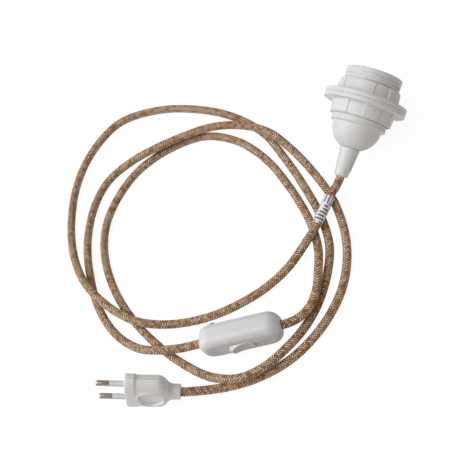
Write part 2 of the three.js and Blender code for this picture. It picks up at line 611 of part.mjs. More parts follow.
// The rocker: a drum segment with a dished top, two pivot stubs, and a leg bored for the spring.
const LEG_R = 2.6;
const LEG_BORE_R = 1.9;
const LEG_END = -1.6;
const SPRING_TOP = 3;
const rockerDip = ROCKER_DIP;
function rocker() {
  const half = Math.sqrt(ROCKER_R ** 2 - ROCKER_HUMP ** 2);
  const low = Math.sqrt(ROCKER_R ** 2 - 1);
  const outline = new THREE.Shape();
  outline.moveTo(-low, -1);
  outline.lineTo(low, -1);
  outline.absarc(0, 0, ROCKER_R, Math.asin(-1 / ROCKER_R), Math.atan2(ROCKER_HUMP, half));
  outline.quadraticCurveTo(0, 2 * rockerDip - ROCKER_HUMP, -half, ROCKER_HUMP);
  outline.absarc(0, 0, ROCKER_R, Math.PI - Math.atan2(ROCKER_HUMP, half), Math.PI + Math.asin(1 / ROCKER_R));
  const drum = new THREE.ExtrudeGeometry(outline, { depth: ROCKER_W, bevelEnabled: false, curveSegments: 8 });
  drum.rotateX(Math.PI / 2).translate(0, ROCKER_W / 2, 0);
  const hollow = block(-low + 1.6, low - 1.6, -ROCKER_W / 2 + 1.4, ROCKER_W / 2 - 1.4, -2, 2.2);
  const leg = rod('z', LEG_R, LEG_END, 4.4, [0, 0], 20);
  const stubs = rod('y', PIVOT_R, -ROCKER_W / 2 - GAP - CHEEK_T, ROCKER_W / 2 + GAP + CHEEK_T, [0, 0], 16);
  const body = join(cut(drum, hollow), leg, stubs);
  const bore = rod('z', LEG_BORE_R, LEG_END - 1, SPRING_TOP, [0, 0], 16);
  return cut(body, bore).rotate([0, ROCKER_TILT, 0]).translate([0, 0, ROCKER_PIVOT_Z]);
}

// The spring in the leg, as the wire's own coil.
function rockerSpring() {
  const turns = 4;
  const perTurn = 8;
  const wire = 0.28;
  const top = SPRING_TOP - GAP - wire;
  const bottom = LEG_END + 1.1 + wire;
  const points = Array.from({ length: turns * perTurn + 1 }, (_, i) => {
    const angle = (2 * Math.PI * i) / perTurn;
    const r = LEG_BORE_R - GAP - wire;
    return [r * Math.cos(angle), r * Math.sin(angle), bottom + ((top - bottom) * i) / (turns * perTurn)];
  });
  return toSolid(tube(points, wire, 6)).rotate([0, ROCKER_TILT, 0]).translate([0, 0, ROCKER_PIVOT_Z]);
}

// The plunger under the spring, which slides on the seesaw.
const PLUNGER_R = 1.2;
const PLUNGER_TIP = -4.35;
function rockerPlunger() {
  const guide = LEG_BORE_R - GAP;
  const shape = turned([
    [0, PLUNGER_TIP], [0.8, PLUNGER_TIP + 0.3], [PLUNGER_R, PLUNGER_TIP + 0.9], [PLUNGER_R, LEG_END - GAP],
    [guide, LEG_END], [guide, LEG_END + 0.8], [0, LEG_END + 0.8],
  ], 16);
  return toSolid(shape).rotate([0, ROCKER_TILT, 0]).translate([0, 0, ROCKER_PIVOT_Z]);
}

// The seesaw rocks on the common terminal and presses its dimple on the fixed contact.
const SEESAW_PIVOT_Z = -1.4;
const SEESAW_TILT = -7;
const SEESAW_HALF = 6.4;
const SEESAW_SHEET = 0.6;
function seesaw() {
  const dish = strip([
    [-SEESAW_HALF, 0.9], [-2.6, 0.1], [-1.4, 0.1], [0, 0.1], [1.4, 0.1], [2.6, 0.1], [SEESAW_HALF, 0.9],
  ], SEESAW_SHEET, -2, 2).rotateX(Math.PI / 2);
  const solid = join(dish, rod('z', 0.9, -0.1, 1.2, [1.4 - SEESAW_HALF, 0], 12));
  return solid.rotate([0, SEESAW_TILT, 0]).translate([0, 0, SEESAW_PIVOT_Z]);
}

// Where the seesaw's dimple comes down, at rest.
const dimple = new THREE.Vector3(1.4 - SEESAW_HALF, 0, -0.1)
  .applyAxisAngle(new THREE.Vector3(0, 1, 0), radians(SEESAW_TILT)).add(new THREE.Vector3(0, 0, SEESAW_PIVOT_Z));

// The common terminal: a fulcrum under the seesaw and a screw block towards the lampholder's end.
const railZ = floorZ + GAP;
const BLOCK_X = [11.5, 15.5];
function commonTerminal() {
  const knife = block(-0.5, 0.5, -1.8, 1.8, railZ + 0.5, SEESAW_PIVOT_Z - GAP);
  const rail = block(-0.5, BLOCK_X[0] + 1, -1.8, 1.8, railZ, railZ + 0.8);
  const clampBlock = block(...BLOCK_X, -1.8, 2.4, railZ, railZ + 4.4);
  return cut(join(knife, rail, clampBlock), ...terminalHoles(1));
}

// The fixed contact: a pad under the dimple and a screw block towards the plug's end.
function fixedContact() {
  const pad = block(dimple.x - 1.2, dimple.x + 1.2, -1.6, 1.6, railZ + 0.5, dimple.z - GAP);
  const rail = block(-BLOCK_X[0] - 1, dimple.x + 1.2, -1.8, 1.8, railZ, railZ + 0.8);
  const clampBlock = block(-BLOCK_X[1], -BLOCK_X[0], -1.8, 2.4, railZ, railZ + 4.4);
  return cut(join(pad, rail, clampBlock), ...terminalHoles(-1));
}

function terminalHoles(end) {
  const from = Math.min(end * 12, end * 16);
  const core = rod('x', CORE_R + GAP / 2, from, from + 4, [0.3, railZ + 1.7], 12);
  const tapped = rod('z', 1 + GAP / 2, railZ + 3.2, railZ + 5, [end * 13.5, 0.3], 10);
  return [core, tapped];
}

function terminalScrew(side) {
  return screw(1.5, 1.1, 1, 1.4).translate([side * 13.5, 0.3, railZ + 4.4 + GAP]);
}

// A clamp strap over the cord, held by a screw on each side of it.
function strap(width, screwY, sheet) {
  const lift = CORD_R + GAP;
  const outer = lift + sheet;
  const reach = screwY + 1.9;
  const turn = Math.asin(sheet / outer);
  const line = new THREE.Shape();
  line.moveTo(-reach, 0);
  line.lineTo(-lift, 0);
  line.absarc(0, 0, lift, Math.PI, 0, true);
  line.lineTo(reach, 0);
  line.lineTo(reach, sheet);
  line.absarc(0, 0, outer, turn, Math.PI - turn);
  line.lineTo(-reach, sheet);
  const body = new THREE.ExtrudeGeometry(line, { depth: width, bevelEnabled: false, curveSegments: 6 });
  body.rotateX(Math.PI / 2).rotateZ(Math.PI / 2).translate(-width / 2, 0, 0);
  return cut(body, ...[-1, 1].map((side) => rod('z', 0.8 + GAP, -2, 3, [0, side * screwY], 10)));
}

const CLAMP_SHEET = 1.2;
const cordClamp = (end) => strap(CLAMP_W, CLAMP_SCREW_Y, CLAMP_SHEET).translate([end * CLAMP_X, 0, 0]);

function clampScrew(end, side) {
  return screw(1.5, 1, 0.8, 6).translate([end * CLAMP_X, side * CLAMP_SCREW_Y, CLAMP_SHEET + GAP]);
}

function housingScrew([x, y]) {
  const solid = screw(SCREW_HEAD_R, SCREW_HEAD_T - GAP, SCREW_R, 8).rotate([180, 0, 0]);
  return solid.translate([x, y, backZ + SCREW_HEAD_T]);
}

// The cord's end inside each entry, as the sheath that the clamp holds.
const sheathTip = CLAMP_X - 3.4;
function sheathEnd(end) {
  const [near, far] = [end * sheathTip, end * (SWITCH_L / 2 - 0.2)];
  return rod('x', CORD_R, Math.min(near, far), Math.max(near, far), [0, 0], CORD_SIDES);
}

function switchLiveCore(end) {
  const start = sheathTip - GAP;
  const line = [
    [start, -CORE_SPREAD, 0], [start - 0.6, -CORE_SPREAD, 0], [start - 1.5, -0.6, -2.2], [start - 1.8, 0.2, -4.2],
    [start - 2.6, 0.3, railZ + 1.75], [start - 3.4, 0.3, railZ + 1.7], [start - 5.4, 0.3, railZ + 1.7],
  ];
  return tube(line.map(([x, y, z]) => [end * x, y, z]), CORE_R, CORE_SIDES);
}

// The neutral core isn't switched and runs past the mechanism from end to end.
function switchNeutralCore() {
  const start = sheathTip - GAP;
  const y = innerW / 2 - 1.9;
  const half = [
    [start, CORE_SPREAD, 0], [start - 0.8, CORE_SPREAD, 0], [start - 2.2, 2.4, 0.4], [14, 3.6, 0.5],
    [11.5, 5.9, 0.4], [9, y - 0.4, 0.2], [6, y, 0],
  ];
  const mirrored = half.map(([x, ...rest]) => [-x, ...rest]);
  return tube([...mirrored, [0, y, 0], ...half.reverse()], CORE_R, CORE_SIDES);
}

addTo(switchBody, 'switch_base', switchBase(), whitePlastic());
addTo(switchBody, 'switch_cover', switchCover(), whitePlastic());
addTo(switchBody, 'switch_rocker', rocker(), whitePlastic());
addTo(switchBody, 'rocker_spring', rockerSpring(), steel());
addTo(switchBody, 'rocker_plunger', rockerPlunger(), greyPlastic());
addTo(switchBody, 'contact_seesaw', seesaw(), brass());
addTo(switchBody, 'common_terminal', commonTerminal(), brass());
addTo(switchBody, 'fixed_contact', fixedContact(), brass());
addTo(switchBody, 'switch_core_neutral', switchNeutralCore(), blueCore());
for (const [name, end] of [['in', -1], ['out', 1]]) {
  addTo(switchBody, `switch_terminal_screw_${name}`, terminalScrew(end), steel());
  addTo(switchBody, `switch_sheath_${name}`, sheathEnd(end), textile());
  addTo(switchBody, `switch_core_live_${name}`, switchLiveCore(end), brownCore());
  addTo(switchBody, `cord_clamp_${name}`, cordClamp(end), greyPlastic());
  addTo(switchBody, `clamp_screw_${name}_a`, clampScrew(end, -1), steel());
  addTo(switchBody, `clamp_screw_${name}_b`, clampScrew(end, 1), steel());
}
housingScrews.forEach((place, i) => addTo(switchBody, `switch_housing_screw_${i + 1}`, housingScrew(place), steel()));

// Plug, standing on its narrow edge with the pins a little up

const plug = new THREE.Group();
const pitch = radians(PLUG_PITCH);
const azimuth = radians(PLUG_AZIMUTH);
const roll = radians(PLUG_ROLL);
const pinsWay = new THREE.Vector3(
  Math.cos(pitch) * Math.cos(azimuth), Math.cos(pitch) * Math.sin(azimuth), Math.sin(pitch),
);
const level = new THREE.Vector3(0, 0, 1).cross(pinsWay).normalize();
const raised = pinsWay.clone().cross(level);
const acrossPins = level.clone().multiplyScalar(Math.cos(roll)).addScaledVector(raised, Math.sin(roll));
const throughPlug = pinsWay.clone().cross(acrossPins);

// The plug's outline seen on its flat face: the head, a step, the full body and the taper to the neck.
function plugPlan(inset) {
  const half = PLUG_W / 2 - inset;
  const body = half - PLUG_STEP;
  const neck = PLUG_NECK_R - inset;
  const tail = -PLUG_BODY + (inset > 0 ? inset : 0);
  const plan = new THREE.Shape();
  plan.moveTo(-inset, -half);
  plan.lineTo(-inset, half);
  plan.lineTo(-PLUG_HEAD + inset, half);
  plan.lineTo(-PLUG_HEAD + inset - 0.6, body);
  plan.lineTo(-PLUG_FULL, body);
  plan.bezierCurveTo(-PLUG_FULL - 6, body, -PLUG_FULL - 5.5, neck, tail + PLUG_NECK_L, neck);
  plan.lineTo(tail, neck);
  plan.lineTo(tail, -neck);
  plan.lineTo(tail + PLUG_NECK_L, -neck);
  plan.bezierCurveTo(-PLUG_FULL - 5.5, -neck, -PLUG_FULL - 6, -body, -PLUG_FULL, -body);
  plan.lineTo(-PLUG_HEAD + inset - 0.6, -body);
  plan.lineTo(-PLUG_HEAD + inset, -half);
  return plan;
}

// The plug's outline seen on its narrow edge.
function plugProfile(inset) {
  const half = PLUG_T / 2 - inset;
  const neck = PLUG_NECK_R - inset;
  const tail = -PLUG_BODY + (inset > 0 ? inset : 0);
  const side = new THREE.Shape();
  side.moveTo(-inset, -half);
  side.lineTo(-inset, half);
  side.lineTo(-PLUG_FULL - 2, half);
  side.bezierCurveTo(-PLUG_FULL - 6, half, -PLUG_FULL - 6, neck, tail + PLUG_NECK_L, neck);
  side.lineTo(tail, neck);
  side.lineTo(tail, -neck);
  side.lineTo(tail + PLUG_NECK_L, -neck);
  side.bezierCurveTo(-PLUG_FULL - 6, -neck, -PLUG_FULL - 6, -half, -PLUG_FULL - 2, -half);
  return side;
}

// The plug's cross-section: flat faces and edges that are drawn to a rounded ridge.
function plugSection(inset) {
  const half = PLUG_W / 2 - inset;
  const flat = PLUG_FLAT_W / 2 - inset * 0.5;
  const t = PLUG_T / 2 - inset;
  const section = new THREE.Shape();
  section.moveTo(-flat, -t);
  section.lineTo(flat, -t);
  section.quadraticCurveTo(half - 2.2, -t + 0.6, half - 0.5, -1.6);
  section.quadraticCurveTo(half + 0.1, 0, half - 0.5, 1.6);
  section.quadraticCurveTo(half - 2.2, t - 0.6, flat, t);
  section.lineTo(-flat, t);
  section.quadraticCurveTo(-half + 2.2, t - 0.6, -half + 0.5, 1.6);
  section.quadraticCurveTo(-half - 0.1, 0, -half + 0.5, -1.6);
  section.quadraticCurveTo(-half + 2.2, -t + 0.6, -flat, -t);
  return section;
}

function plugForm(inset) {
  const reach = PLUG_W;
  const options = { depth: 2 * reach, bevelEnabled: false, curveSegments: 6 };
  const plan = new THREE.ExtrudeGeometry(plugPlan(inset), options).translate(0, 0, -reach);
  const profile = new THREE.ExtrudeGeometry(plugProfile(inset), options).rotateX(Math.PI / 2).translate(0, reach, 0);
  const section = new THREE.ExtrudeGeometry(plugSection(inset), { ...options, depth: PLUG_BODY + 2 });
  section.rotateX(Math.PI / 2).rotateZ(Math.PI / 2).translate(-PLUG_BODY - 1, 0, 0);
  return common(common(plan, profile), section);
}

const pinY = (side) => (side * PIN_SPACING) / 2;
const BARREL_L = 6;
const PLUG_CLAMP_Y = 5.7;
const plugScrewSeat = -PLUG_T / 2 + RECESS_DEPTH + 1.5;

function plugShell(half) {
  const solid = plugForm(0);
  const hollow = common(plugForm(PLUG_WALL), block(-PLUG_FULL - 9, -PLUG_HEAD, -PLUG_W, PLUG_W, -PLUG_T, PLUG_T));
  const sideZ = half > 0 ? [SEAM / 2, PLUG_T] : [-PLUG_T, -SEAM / 2];
  const keep = block(-PLUG_BODY - 1, 1, -PLUG_W, PLUG_W, ...sideZ);
  const seats = [-1, 1].flatMap((side) => [
    rod('x', PIN_R + GAP, -PIN_ROOT - GAP, 1, [pinY(side), 0], 24),
    block(-PIN_ROOT - BARREL_L - GAP, -PIN_ROOT + GAP, pinY(side) - 3.1, pinY(side) + 3.1, -3.1, 3.1),
  ]);
  const dish = new THREE.SphereGeometry(1, 32, 12).scale(RECESS_R, RECESS_R, RECESS_DEPTH)
    .rotateX(Math.PI / 2).rotateX(-Math.PI / 2).translate(RECESS_X, 0, (half * PLUG_T) / 2);
  const cordWay = rod('x', CORD_BORE, -PLUG_BODY - 1, -PLUG_FULL - 8, [0, 0], 24);
  const bossFace = PLUG_T / 2 - PLUG_WALL + 0.3;
  const boss = half < 0 ? rod('z', 3, -bossFace, -SEAM / 2, [PLUG_SCREW_X, 0], 16)
    : rod('z', 2.6, SEAM / 2, bossFace, [PLUG_SCREW_X, 0], 16);
  const posts = half > 0 ? [] : [-1, 1].map(
    (side) => rod('z', 1.6, -bossFace, -GAP, [PLUG_CLAMP_X, side * PLUG_CLAMP_Y], 12),
  );
  const body = join(cut(solid, hollow), boss, ...posts);
  const tools = [...seats, dish, cordWay];
  if (half < 0) {
    tools.push(rod('z', SCREW_R + GAP, -PLUG_T, 0, [PLUG_SCREW_X, 0], 12));
    tools.push(rod('z', SCREW_HEAD_R + GAP, -PLUG_T, plugScrewSeat, [PLUG_SCREW_X, 0], 16));
    [-1, 1].forEach((side) => tools.push(
      rod('z', 0.8 + GAP / 2, -PLUG_T / 2 + PLUG_WALL + 0.6, 0, [PLUG_CLAMP_X, side * PLUG_CLAMP_Y], 10),
    ));
  } else {
    tools.push(rod('z', SCREW_R + GAP / 2, -1, PLUG_T / 2 - 3, [PLUG_SCREW_X, 0], 12));
  }
  return common(cut(body, ...tools), keep);
}

// A pin with its terminal barrel inside the plug.
function plugPin(side) {
  const y = pinY(side);
  const tip = turned([
    [0, PIN_LENGTH], [PIN_R - 0.9, PIN_LENGTH], [PIN_R - 0.25, PIN_LENGTH - 0.5], [PIN_R, PIN_LENGTH - 1.3],
    [PIN_R, PIN_SLEEVE + GAP], [PIN_R - SLEEVE_WALL - GAP / 2, PIN_SLEEVE + GAP],
    [PIN_R - SLEEVE_WALL - GAP / 2, -PIN_ROOT], [0, -PIN_ROOT],
  ], 20).rotateY(Math.PI / 2).translate(0, y, 0);
  const barrel = block(-PIN_ROOT - BARREL_L, -PIN_ROOT + 0.01, y - 2.8, y + 2.8, -2.8, 2.8);
  const coreHole = rod('x', CORE_R + GAP / 2, -PIN_ROOT - 7, -PIN_ROOT - 2, [y, 0], 12);
  const screwHole = rod('z', 1 + GAP / 2, 0, 4, [-PIN_ROOT - 3.6, y], 10);
  return cut(join(tip, barrel), coreHole, screwHole);
}

function pinSleeve(side) {
  const inner = PIN_R - SLEEVE_WALL;
  return turned([[inner, -3], [PIN_R, -3], [PIN_R, PIN_SLEEVE], [inner, PIN_SLEEVE]], 20)
    .rotateY(Math.PI / 2).translate(0, pinY(side), 0);
}

function plugTerminalScrew(side) {
  return rod('z', 1, CORE_R + 0.4, 2.7, [-PIN_ROOT - 3.6, pinY(side)], 10);
}

// The cord's end inside the plug's tail, held by its own strap.
const plugSheathTip = PLUG_CLAMP_X + 2.4;
function plugCore(side) {
  const start = plugSheathTip + GAP;
  const rear = -PIN_ROOT - BARREL_L;
  return tube([
    [start, side * CORE_SPREAD, 0], [start + 0.7, side * CORE_SPREAD, 0], [start + 2, side * 3.2, 0],
    [rear - 2.4, side * 7.8, 0], [rear - 0.6, pinY(side), 0], [rear + 0.6, pinY(side), 0], [rear + 3.6, pinY(side), 0],
  ], CORE_R, CORE_SIDES);
}

function plugHousingScrew() {
  return screw(SCREW_HEAD_R, SCREW_HEAD_T - 0.4, SCREW_R, 6).rotate([180, 0, 0])
    .translate([PLUG_SCREW_X, 0, plugScrewSeat - GAP]);
}

const plugClampScrew = (side) => screw(1.3, 0.8, 0.8, 4.6)
  .translate([PLUG_CLAMP_X, side * PLUG_CLAMP_Y, CLAMP_SHEET * 0.8 + GAP]);

const plugPieces = [
  ['plug_shell_front', plugShell(1), whitePlastic()],
  ['plug_shell_back', plugShell(-1), whitePlastic()],
  ['plug_housing_screw', plugHousingScrew(), steel()],
  ['plug_sheath', rod('x', CORD_R, -PLUG_BODY + 0.2, plugSheathTip, [0, 0], CORD_SIDES), textile()],
  ['plug_cord_clamp', strap(3, PLUG_CLAMP_Y, CLAMP_SHEET * 0.8).translate([PLUG_CLAMP_X, 0, 0]), greyPlastic()],
  ['plug_clamp_screw_a', plugClampScrew(-1), steel()],
  ['plug_clamp_screw_b', plugClampScrew(1), steel()],
];
for (const [name, side] of [['live', 1], ['neutral', -1]]) {
  plugPieces.push([`plug_pin_${name}`, plugPin(side), nickel()]);
  plugPieces.push([`pin_sleeve_${name}`, pinSleeve(side), greyPlastic()]);
  plugPieces.push([`plug_terminal_screw_${name}`, plugTerminalScrew(side), steel()]);
  plugPieces.push([`plug_core_${name}`, plugCore(side), name === 'live' ? brownCore() : blueCore()]);
}

// The plug's height sets its lowest edge on the table.
const plugTurn = new THREE.Matrix4().makeBasis(pinsWay, acrossPins, throughPlug);
plug.matrixAutoUpdate = false;
plug.matrix.copy(plugTurn).setPosition(PLUG_X, PLUG_Y, reachBelow(plugForm(0), plugTurn));
model.add(plug);
plug.updateMatrixWorld(true);
for (const [name, shape, material] of plugPieces) addTo(plug, name, shape, material);

// Cord runs: each starts and ends a gap away from the faces that it meets, square to them

const LEAD = 2.5;
const placeIn = (group, x, y, z) => new THREE.Vector3(x, y, z).applyMatrix4(group.matrixWorld).toArray();
const gripMouth = [0, LEAD].map((lead) => placeIn(holder, 0, 0, -(gripEnd + GAP + lead)));
const switchRight = [LEAD, 0].map((lead) => placeIn(switchBody, SWITCH_L / 2 + GAP + lead, 0, 0));
const switchLeft = [0, LEAD].map((lead) => placeIn(switchBody, -SWITCH_L / 2 - GAP - lead, 0, 0));
const plugTail = [LEAD, 0].map((lead) => placeIn(plug, -PLUG_BODY - GAP - lead, 0, 0));

addTo(model, 'cord_holder_to_switch', tube([...gripMouth, ...HOLDER_RUN, ...switchRight], CORD_R, CORD_SIDES), textile());
addTo(model, 'cord_switch_to_plug', tube([...switchLeft, ...PLUG_RUN, ...plugTail], CORD_R, CORD_SIDES), textile());

// The printed sleeve is wrapped round the straight stretch just behind the lampholder.
function cordLabel() {
  const [start, end] = LABEL_STRETCH.map((place) => new THREE.Vector3(...place));
  const way = end.clone().sub(start);
  const length = way.length() - 2 * LABEL_INSET;
  const inner = CORD_R + GAP;
  const outer = inner + LABEL_WALL;
  const sleeve = turned([[inner, 0], [outer, 0], [outer, length], [inner, length]], 20);
  const turn = new THREE.Quaternion().setFromUnitVectors(new THREE.Vector3(0, 0, 1), way.clone().normalize());
  const foot = start.clone().addScaledVector(way.clone().normalize(), LABEL_INSET);
  return sleeve.applyQuaternion(turn).translate(foot.x, foot.y, foot.z);
}
addTo(model, 'cord_label', cordLabel(), paper());

export default model;
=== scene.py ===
# %% [markdown]
# # A pendant cord set
# The object is a lampholder with two shade rings, a braided cord with a rocker switch in it, and a flat
# two-pin plug. Its solids were made in CAD, and this script dresses them: it adds round edges, threads, the
# braid of the cord and the finish of each surface. Everything is in metres here, and the pieces are drawn in
# millimetres in their own frame first, because that is how such parts are dimensioned.

# %% Load the solids that everything is fitted to
import json
import math

import bmesh
import bpy
import numpy as np
from mathutils import Matrix, Vector

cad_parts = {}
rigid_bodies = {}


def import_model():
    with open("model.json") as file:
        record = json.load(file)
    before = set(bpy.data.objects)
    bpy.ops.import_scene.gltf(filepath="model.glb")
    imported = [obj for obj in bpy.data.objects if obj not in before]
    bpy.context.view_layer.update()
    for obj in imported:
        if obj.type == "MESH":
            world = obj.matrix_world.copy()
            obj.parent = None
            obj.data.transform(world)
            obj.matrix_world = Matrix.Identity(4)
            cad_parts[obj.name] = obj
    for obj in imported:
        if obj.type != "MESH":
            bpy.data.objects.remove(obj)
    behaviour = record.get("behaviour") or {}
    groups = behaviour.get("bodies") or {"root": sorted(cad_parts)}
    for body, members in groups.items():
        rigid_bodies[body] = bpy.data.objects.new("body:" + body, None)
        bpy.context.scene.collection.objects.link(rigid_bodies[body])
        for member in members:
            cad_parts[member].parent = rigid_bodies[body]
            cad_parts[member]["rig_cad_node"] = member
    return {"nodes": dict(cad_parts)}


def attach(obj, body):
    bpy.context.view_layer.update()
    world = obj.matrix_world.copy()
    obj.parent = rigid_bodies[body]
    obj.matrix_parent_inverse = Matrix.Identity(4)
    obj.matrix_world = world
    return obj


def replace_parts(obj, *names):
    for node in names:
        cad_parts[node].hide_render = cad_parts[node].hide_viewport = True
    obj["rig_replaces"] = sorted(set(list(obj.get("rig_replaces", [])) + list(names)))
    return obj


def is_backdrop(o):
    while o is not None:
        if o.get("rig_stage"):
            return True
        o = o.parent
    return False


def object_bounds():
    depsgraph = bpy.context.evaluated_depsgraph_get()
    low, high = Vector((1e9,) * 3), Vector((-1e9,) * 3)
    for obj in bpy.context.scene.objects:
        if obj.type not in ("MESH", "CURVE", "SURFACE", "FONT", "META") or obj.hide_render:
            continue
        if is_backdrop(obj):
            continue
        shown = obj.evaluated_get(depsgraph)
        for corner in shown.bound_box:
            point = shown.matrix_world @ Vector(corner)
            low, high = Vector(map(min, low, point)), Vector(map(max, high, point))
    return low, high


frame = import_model()
cad_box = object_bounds()
MM = 0.001

# %% [markdown]
# ## Camera
# The photograph was taken from above and a little to the right. A camera is a position and three
# directions, so the rotation is written as the three columns of a matrix: right, up and backwards.

# %% Camera
CAMERA_AT = Vector((155.3, -212.0, 445.5)) * MM
IMAGE_RIGHT = Vector((0.852, 0.4326, -0.2948))
IMAGE_DOWN = Vector((0.3169, -0.8745, -0.3672))
FOCAL_PIXELS = 700
PHOTO_PIXELS = 475
SENSOR = 36
NEAR_CLIP = 0.01


def in_scene(name, data):
    """A new object with this data, in the scene."""
    made = bpy.data.objects.new(name, data)
    bpy.context.scene.collection.objects.link(made)
    return made


camera_data = bpy.data.cameras.new("camera")
camera_data.sensor_width = SENSOR
camera_data.lens = SENSOR * FOCAL_PIXELS / PHOTO_PIXELS
camera_data.clip_start = NEAR_CLIP
camera = in_scene("camera", camera_data)
up = -IMAGE_DOWN.normalized()
back = IMAGE_RIGHT.cross(up).normalized()
right = up.cross(back)
camera.matrix_world = Matrix.Translation(CAMERA_AT) @ Matrix((right, up, back)).transposed().to_4x4()
bpy.context.scene.camera = camera
bpy.context.scene.view_settings.view_transform = "Standard"
print("lens:", round(camera_data.lens, 2), "mm")

# %% [markdown]
# ## Frames of the three bodies
# The lampholder, the switch and the plug each lie at an angle. A 4 x 4 matrix takes a point from the
# millimetres of such a body to its place on the table in metres, so each piece can be drawn upright.

# %% Where the lampholder, the switch and the plug lie
def placing(x_axis, y_axis, z_axis, origin_mm):
    """The matrix from a body's own millimetres to its place in metres."""
    turn = Matrix((x_axis, y_axis, z_axis)).transposed().to_4x4()
    return Matrix.Translation(Vector(origin_mm) * MM) @ turn @ Matrix.Scale(MM, 4)


HOLDER_TILT = math.radians(19.5)
HOLDER_AT, SWITCH_AT, PLUG_AT = (0, 32.0433, 34.9650), (-15.9, -165.3, 11.9619), (-67.6, -230.5, 22.8774)
holder_axis = Vector((0, math.cos(HOLDER_TILT), math.sin(HOLDER_TILT)))
holder_across = Vector((1, 0, 0))
HOLDER = placing(holder_across, holder_axis.cross(holder_across), holder_axis, HOLDER_AT)

SWITCH_AZIMUTH, SWITCH_ROLL = math.radians(35.5), math.radians(8)
along = Vector((math.cos(SWITCH_AZIMUTH), math.sin(SWITCH_AZIMUTH), 0))
upwards = Matrix.Rotation(-SWITCH_ROLL, 3, along) @ Vector((0, 0, 1))
SWITCH = placing(along, upwards, along.cross(upwards), SWITCH_AT)

PLUG_AZIMUTH, PLUG_PITCH, PLUG_ROLL = (math.radians(a) for a in (205.6, 18.9, 286.4))
pins_way = Vector((
    math.cos(PLUG_PITCH) * math.cos(PLUG_AZIMUTH),
    math.cos(PLUG_PITCH) * math.sin(PLUG_AZIMUTH),
    math.sin(PLUG_PITCH),
))
level = Vector((0, 0, 1)).cross(pins_way).normalized()
across_pins = level * math.cos(PLUG_ROLL) + pins_way.cross(level) * math.sin(PLUG_ROLL)
PLUG = placing(pins_way, across_pins, pins_way.cross(across_pins), PLUG_AT)
print("holder axis:", tuple(round(v, 4) for v in holder_axis))

# %% [markdown]
# ## Materials
# Blender's shaders work in linear light, and a given colour is an sRGB value, so one function turns
# a hex colour to linear. A few more add nodes: each input takes either a value or the output that feeds it.

# %% Colour and node helpers
def linear(hex_colour):
    """An sRGB hex colour as linear red, green, blue and full alpha."""
    channels = [int(hex_colour[i:i + 2], 16) / 255 for i in (1, 3, 5)]
    return tuple(c / 12.92 if c <= 0.04045 else ((c + 0.055) / 1.055) ** 2.4 for c in channels) + (1.0,)


def feed(tree, node, inputs):
    """Sets a node's inputs, each to a value or linked to the output that feeds it."""
    for socket, value in inputs.items():
        if isinstance(value, bpy.types.NodeSocket):
            tree.links.new(value, node.inputs[socket])
        else:
            node.inputs[socket].default_value = value


def add(tree, kind, inputs=None, **settings):
    """A new node in the tree, with its settings and its inputs."""
    node = tree.nodes.new(kind)
    for name, value in settings.items():
        setattr(node, name, value)
    feed(tree, node, inputs or {})
    return node


def number(tree, operation, first, second=0.0):
    """The result of one sum on two numbers."""
    return add(tree, "ShaderNodeMath", {0: first, 1: second}, operation=operation).outputs[0]


def empty_tree(owner):
    """The cleared node tree of a material or a world."""
    owner.use_nodes = True
    owner.node_tree.nodes.clear()
    return owner.node_tree


def new_material(name):
    """An empty material, and its tree and surface shader."""
    material = bpy.data.materials.new(name)
    tree = empty_tree(material)
    shader = add(tree, "ShaderNodeBsdfPrincipled")
    add(tree, "ShaderNodeOutputMaterial", {"Surface": shader.outputs["BSDF"]})
    return material, tree, shader


def between(tree, share, low, high):
    """A colour between two, each a hex colour or the output of a node."""
    low, high = (linear(c) if isinstance(c, str) else c for c in (low, high))
    inputs = {"Factor": share, "A": low, "B": high}
    return add(tree, "ShaderNodeMix", inputs, data_type="RGBA").outputs[2]


def spread(tree, value, low, high):
    """A value from 0 to 1, spread over a range."""
    return add(tree, "ShaderNodeMapRange", {"Value": value, "To Min": low, "To Max": high}).outputs["Result"]


def bump(tree, height, strength, depth_mm, **under):
    """A normal that follows the height, on top of another normal if one is given."""
    inputs = {"Height": height, "Strength": strength, "Distance": depth_mm * MM, **under}
    return add(tree, "ShaderNodeBump", inputs).outputs["Normal"]


def object_noise(tree, size_mm, detail=2.0):
    """Noise with features of about that size in millimetres, fixed to the piece."""
    place = add(tree, "ShaderNodeTexCoord").outputs["Object"]
    noise = add(tree, "ShaderNodeTexNoise", {"Vector": place, "Scale": 1 / (size_mm * MM), "Detail": detail})
    return noise.outputs["Fac"]


# %% [markdown]
# ### Moulded thermoplastic
# The white parts are injection-moulded polycarbonate or polypropylene. The steel mould was spark-eroded, so
# the surface has a fine grain that softens the highlights, and thick places sink a little as they cool. The
# grain is about 0.05 mm, too fine to show here, so it is drawn ten times as coarse.

# %% Moulded plastics
GRAIN_MM, GRAIN_DEPTH_MM, GRAIN_DETAIL = 0.5, 0.012, 3.0
SINK_MM, SINK_DEPTH_MM = 14, 0.08
PLASTIC_IOR = 1.5


def moulded_plastic(name, colour, shade, roughness, grain_depth=GRAIN_DEPTH_MM):
    material, tree, shader = new_material(name)
    sink = object_noise(tree, SINK_MM)
    grain = object_noise(tree, GRAIN_MM, GRAIN_DETAIL)
    grained = bump(tree, grain, 0.25, grain_depth)
    feed(tree, shader, {
        "Base Color": between(tree, sink, shade, colour),
        "Roughness": spread(tree, grain, roughness - 0.05, roughness + 0.07),
        "Normal": bump(tree, sink, 0.5, SINK_DEPTH_MM, Normal=grained),
        "IOR": PLASTIC_IOR,
    })
    return material


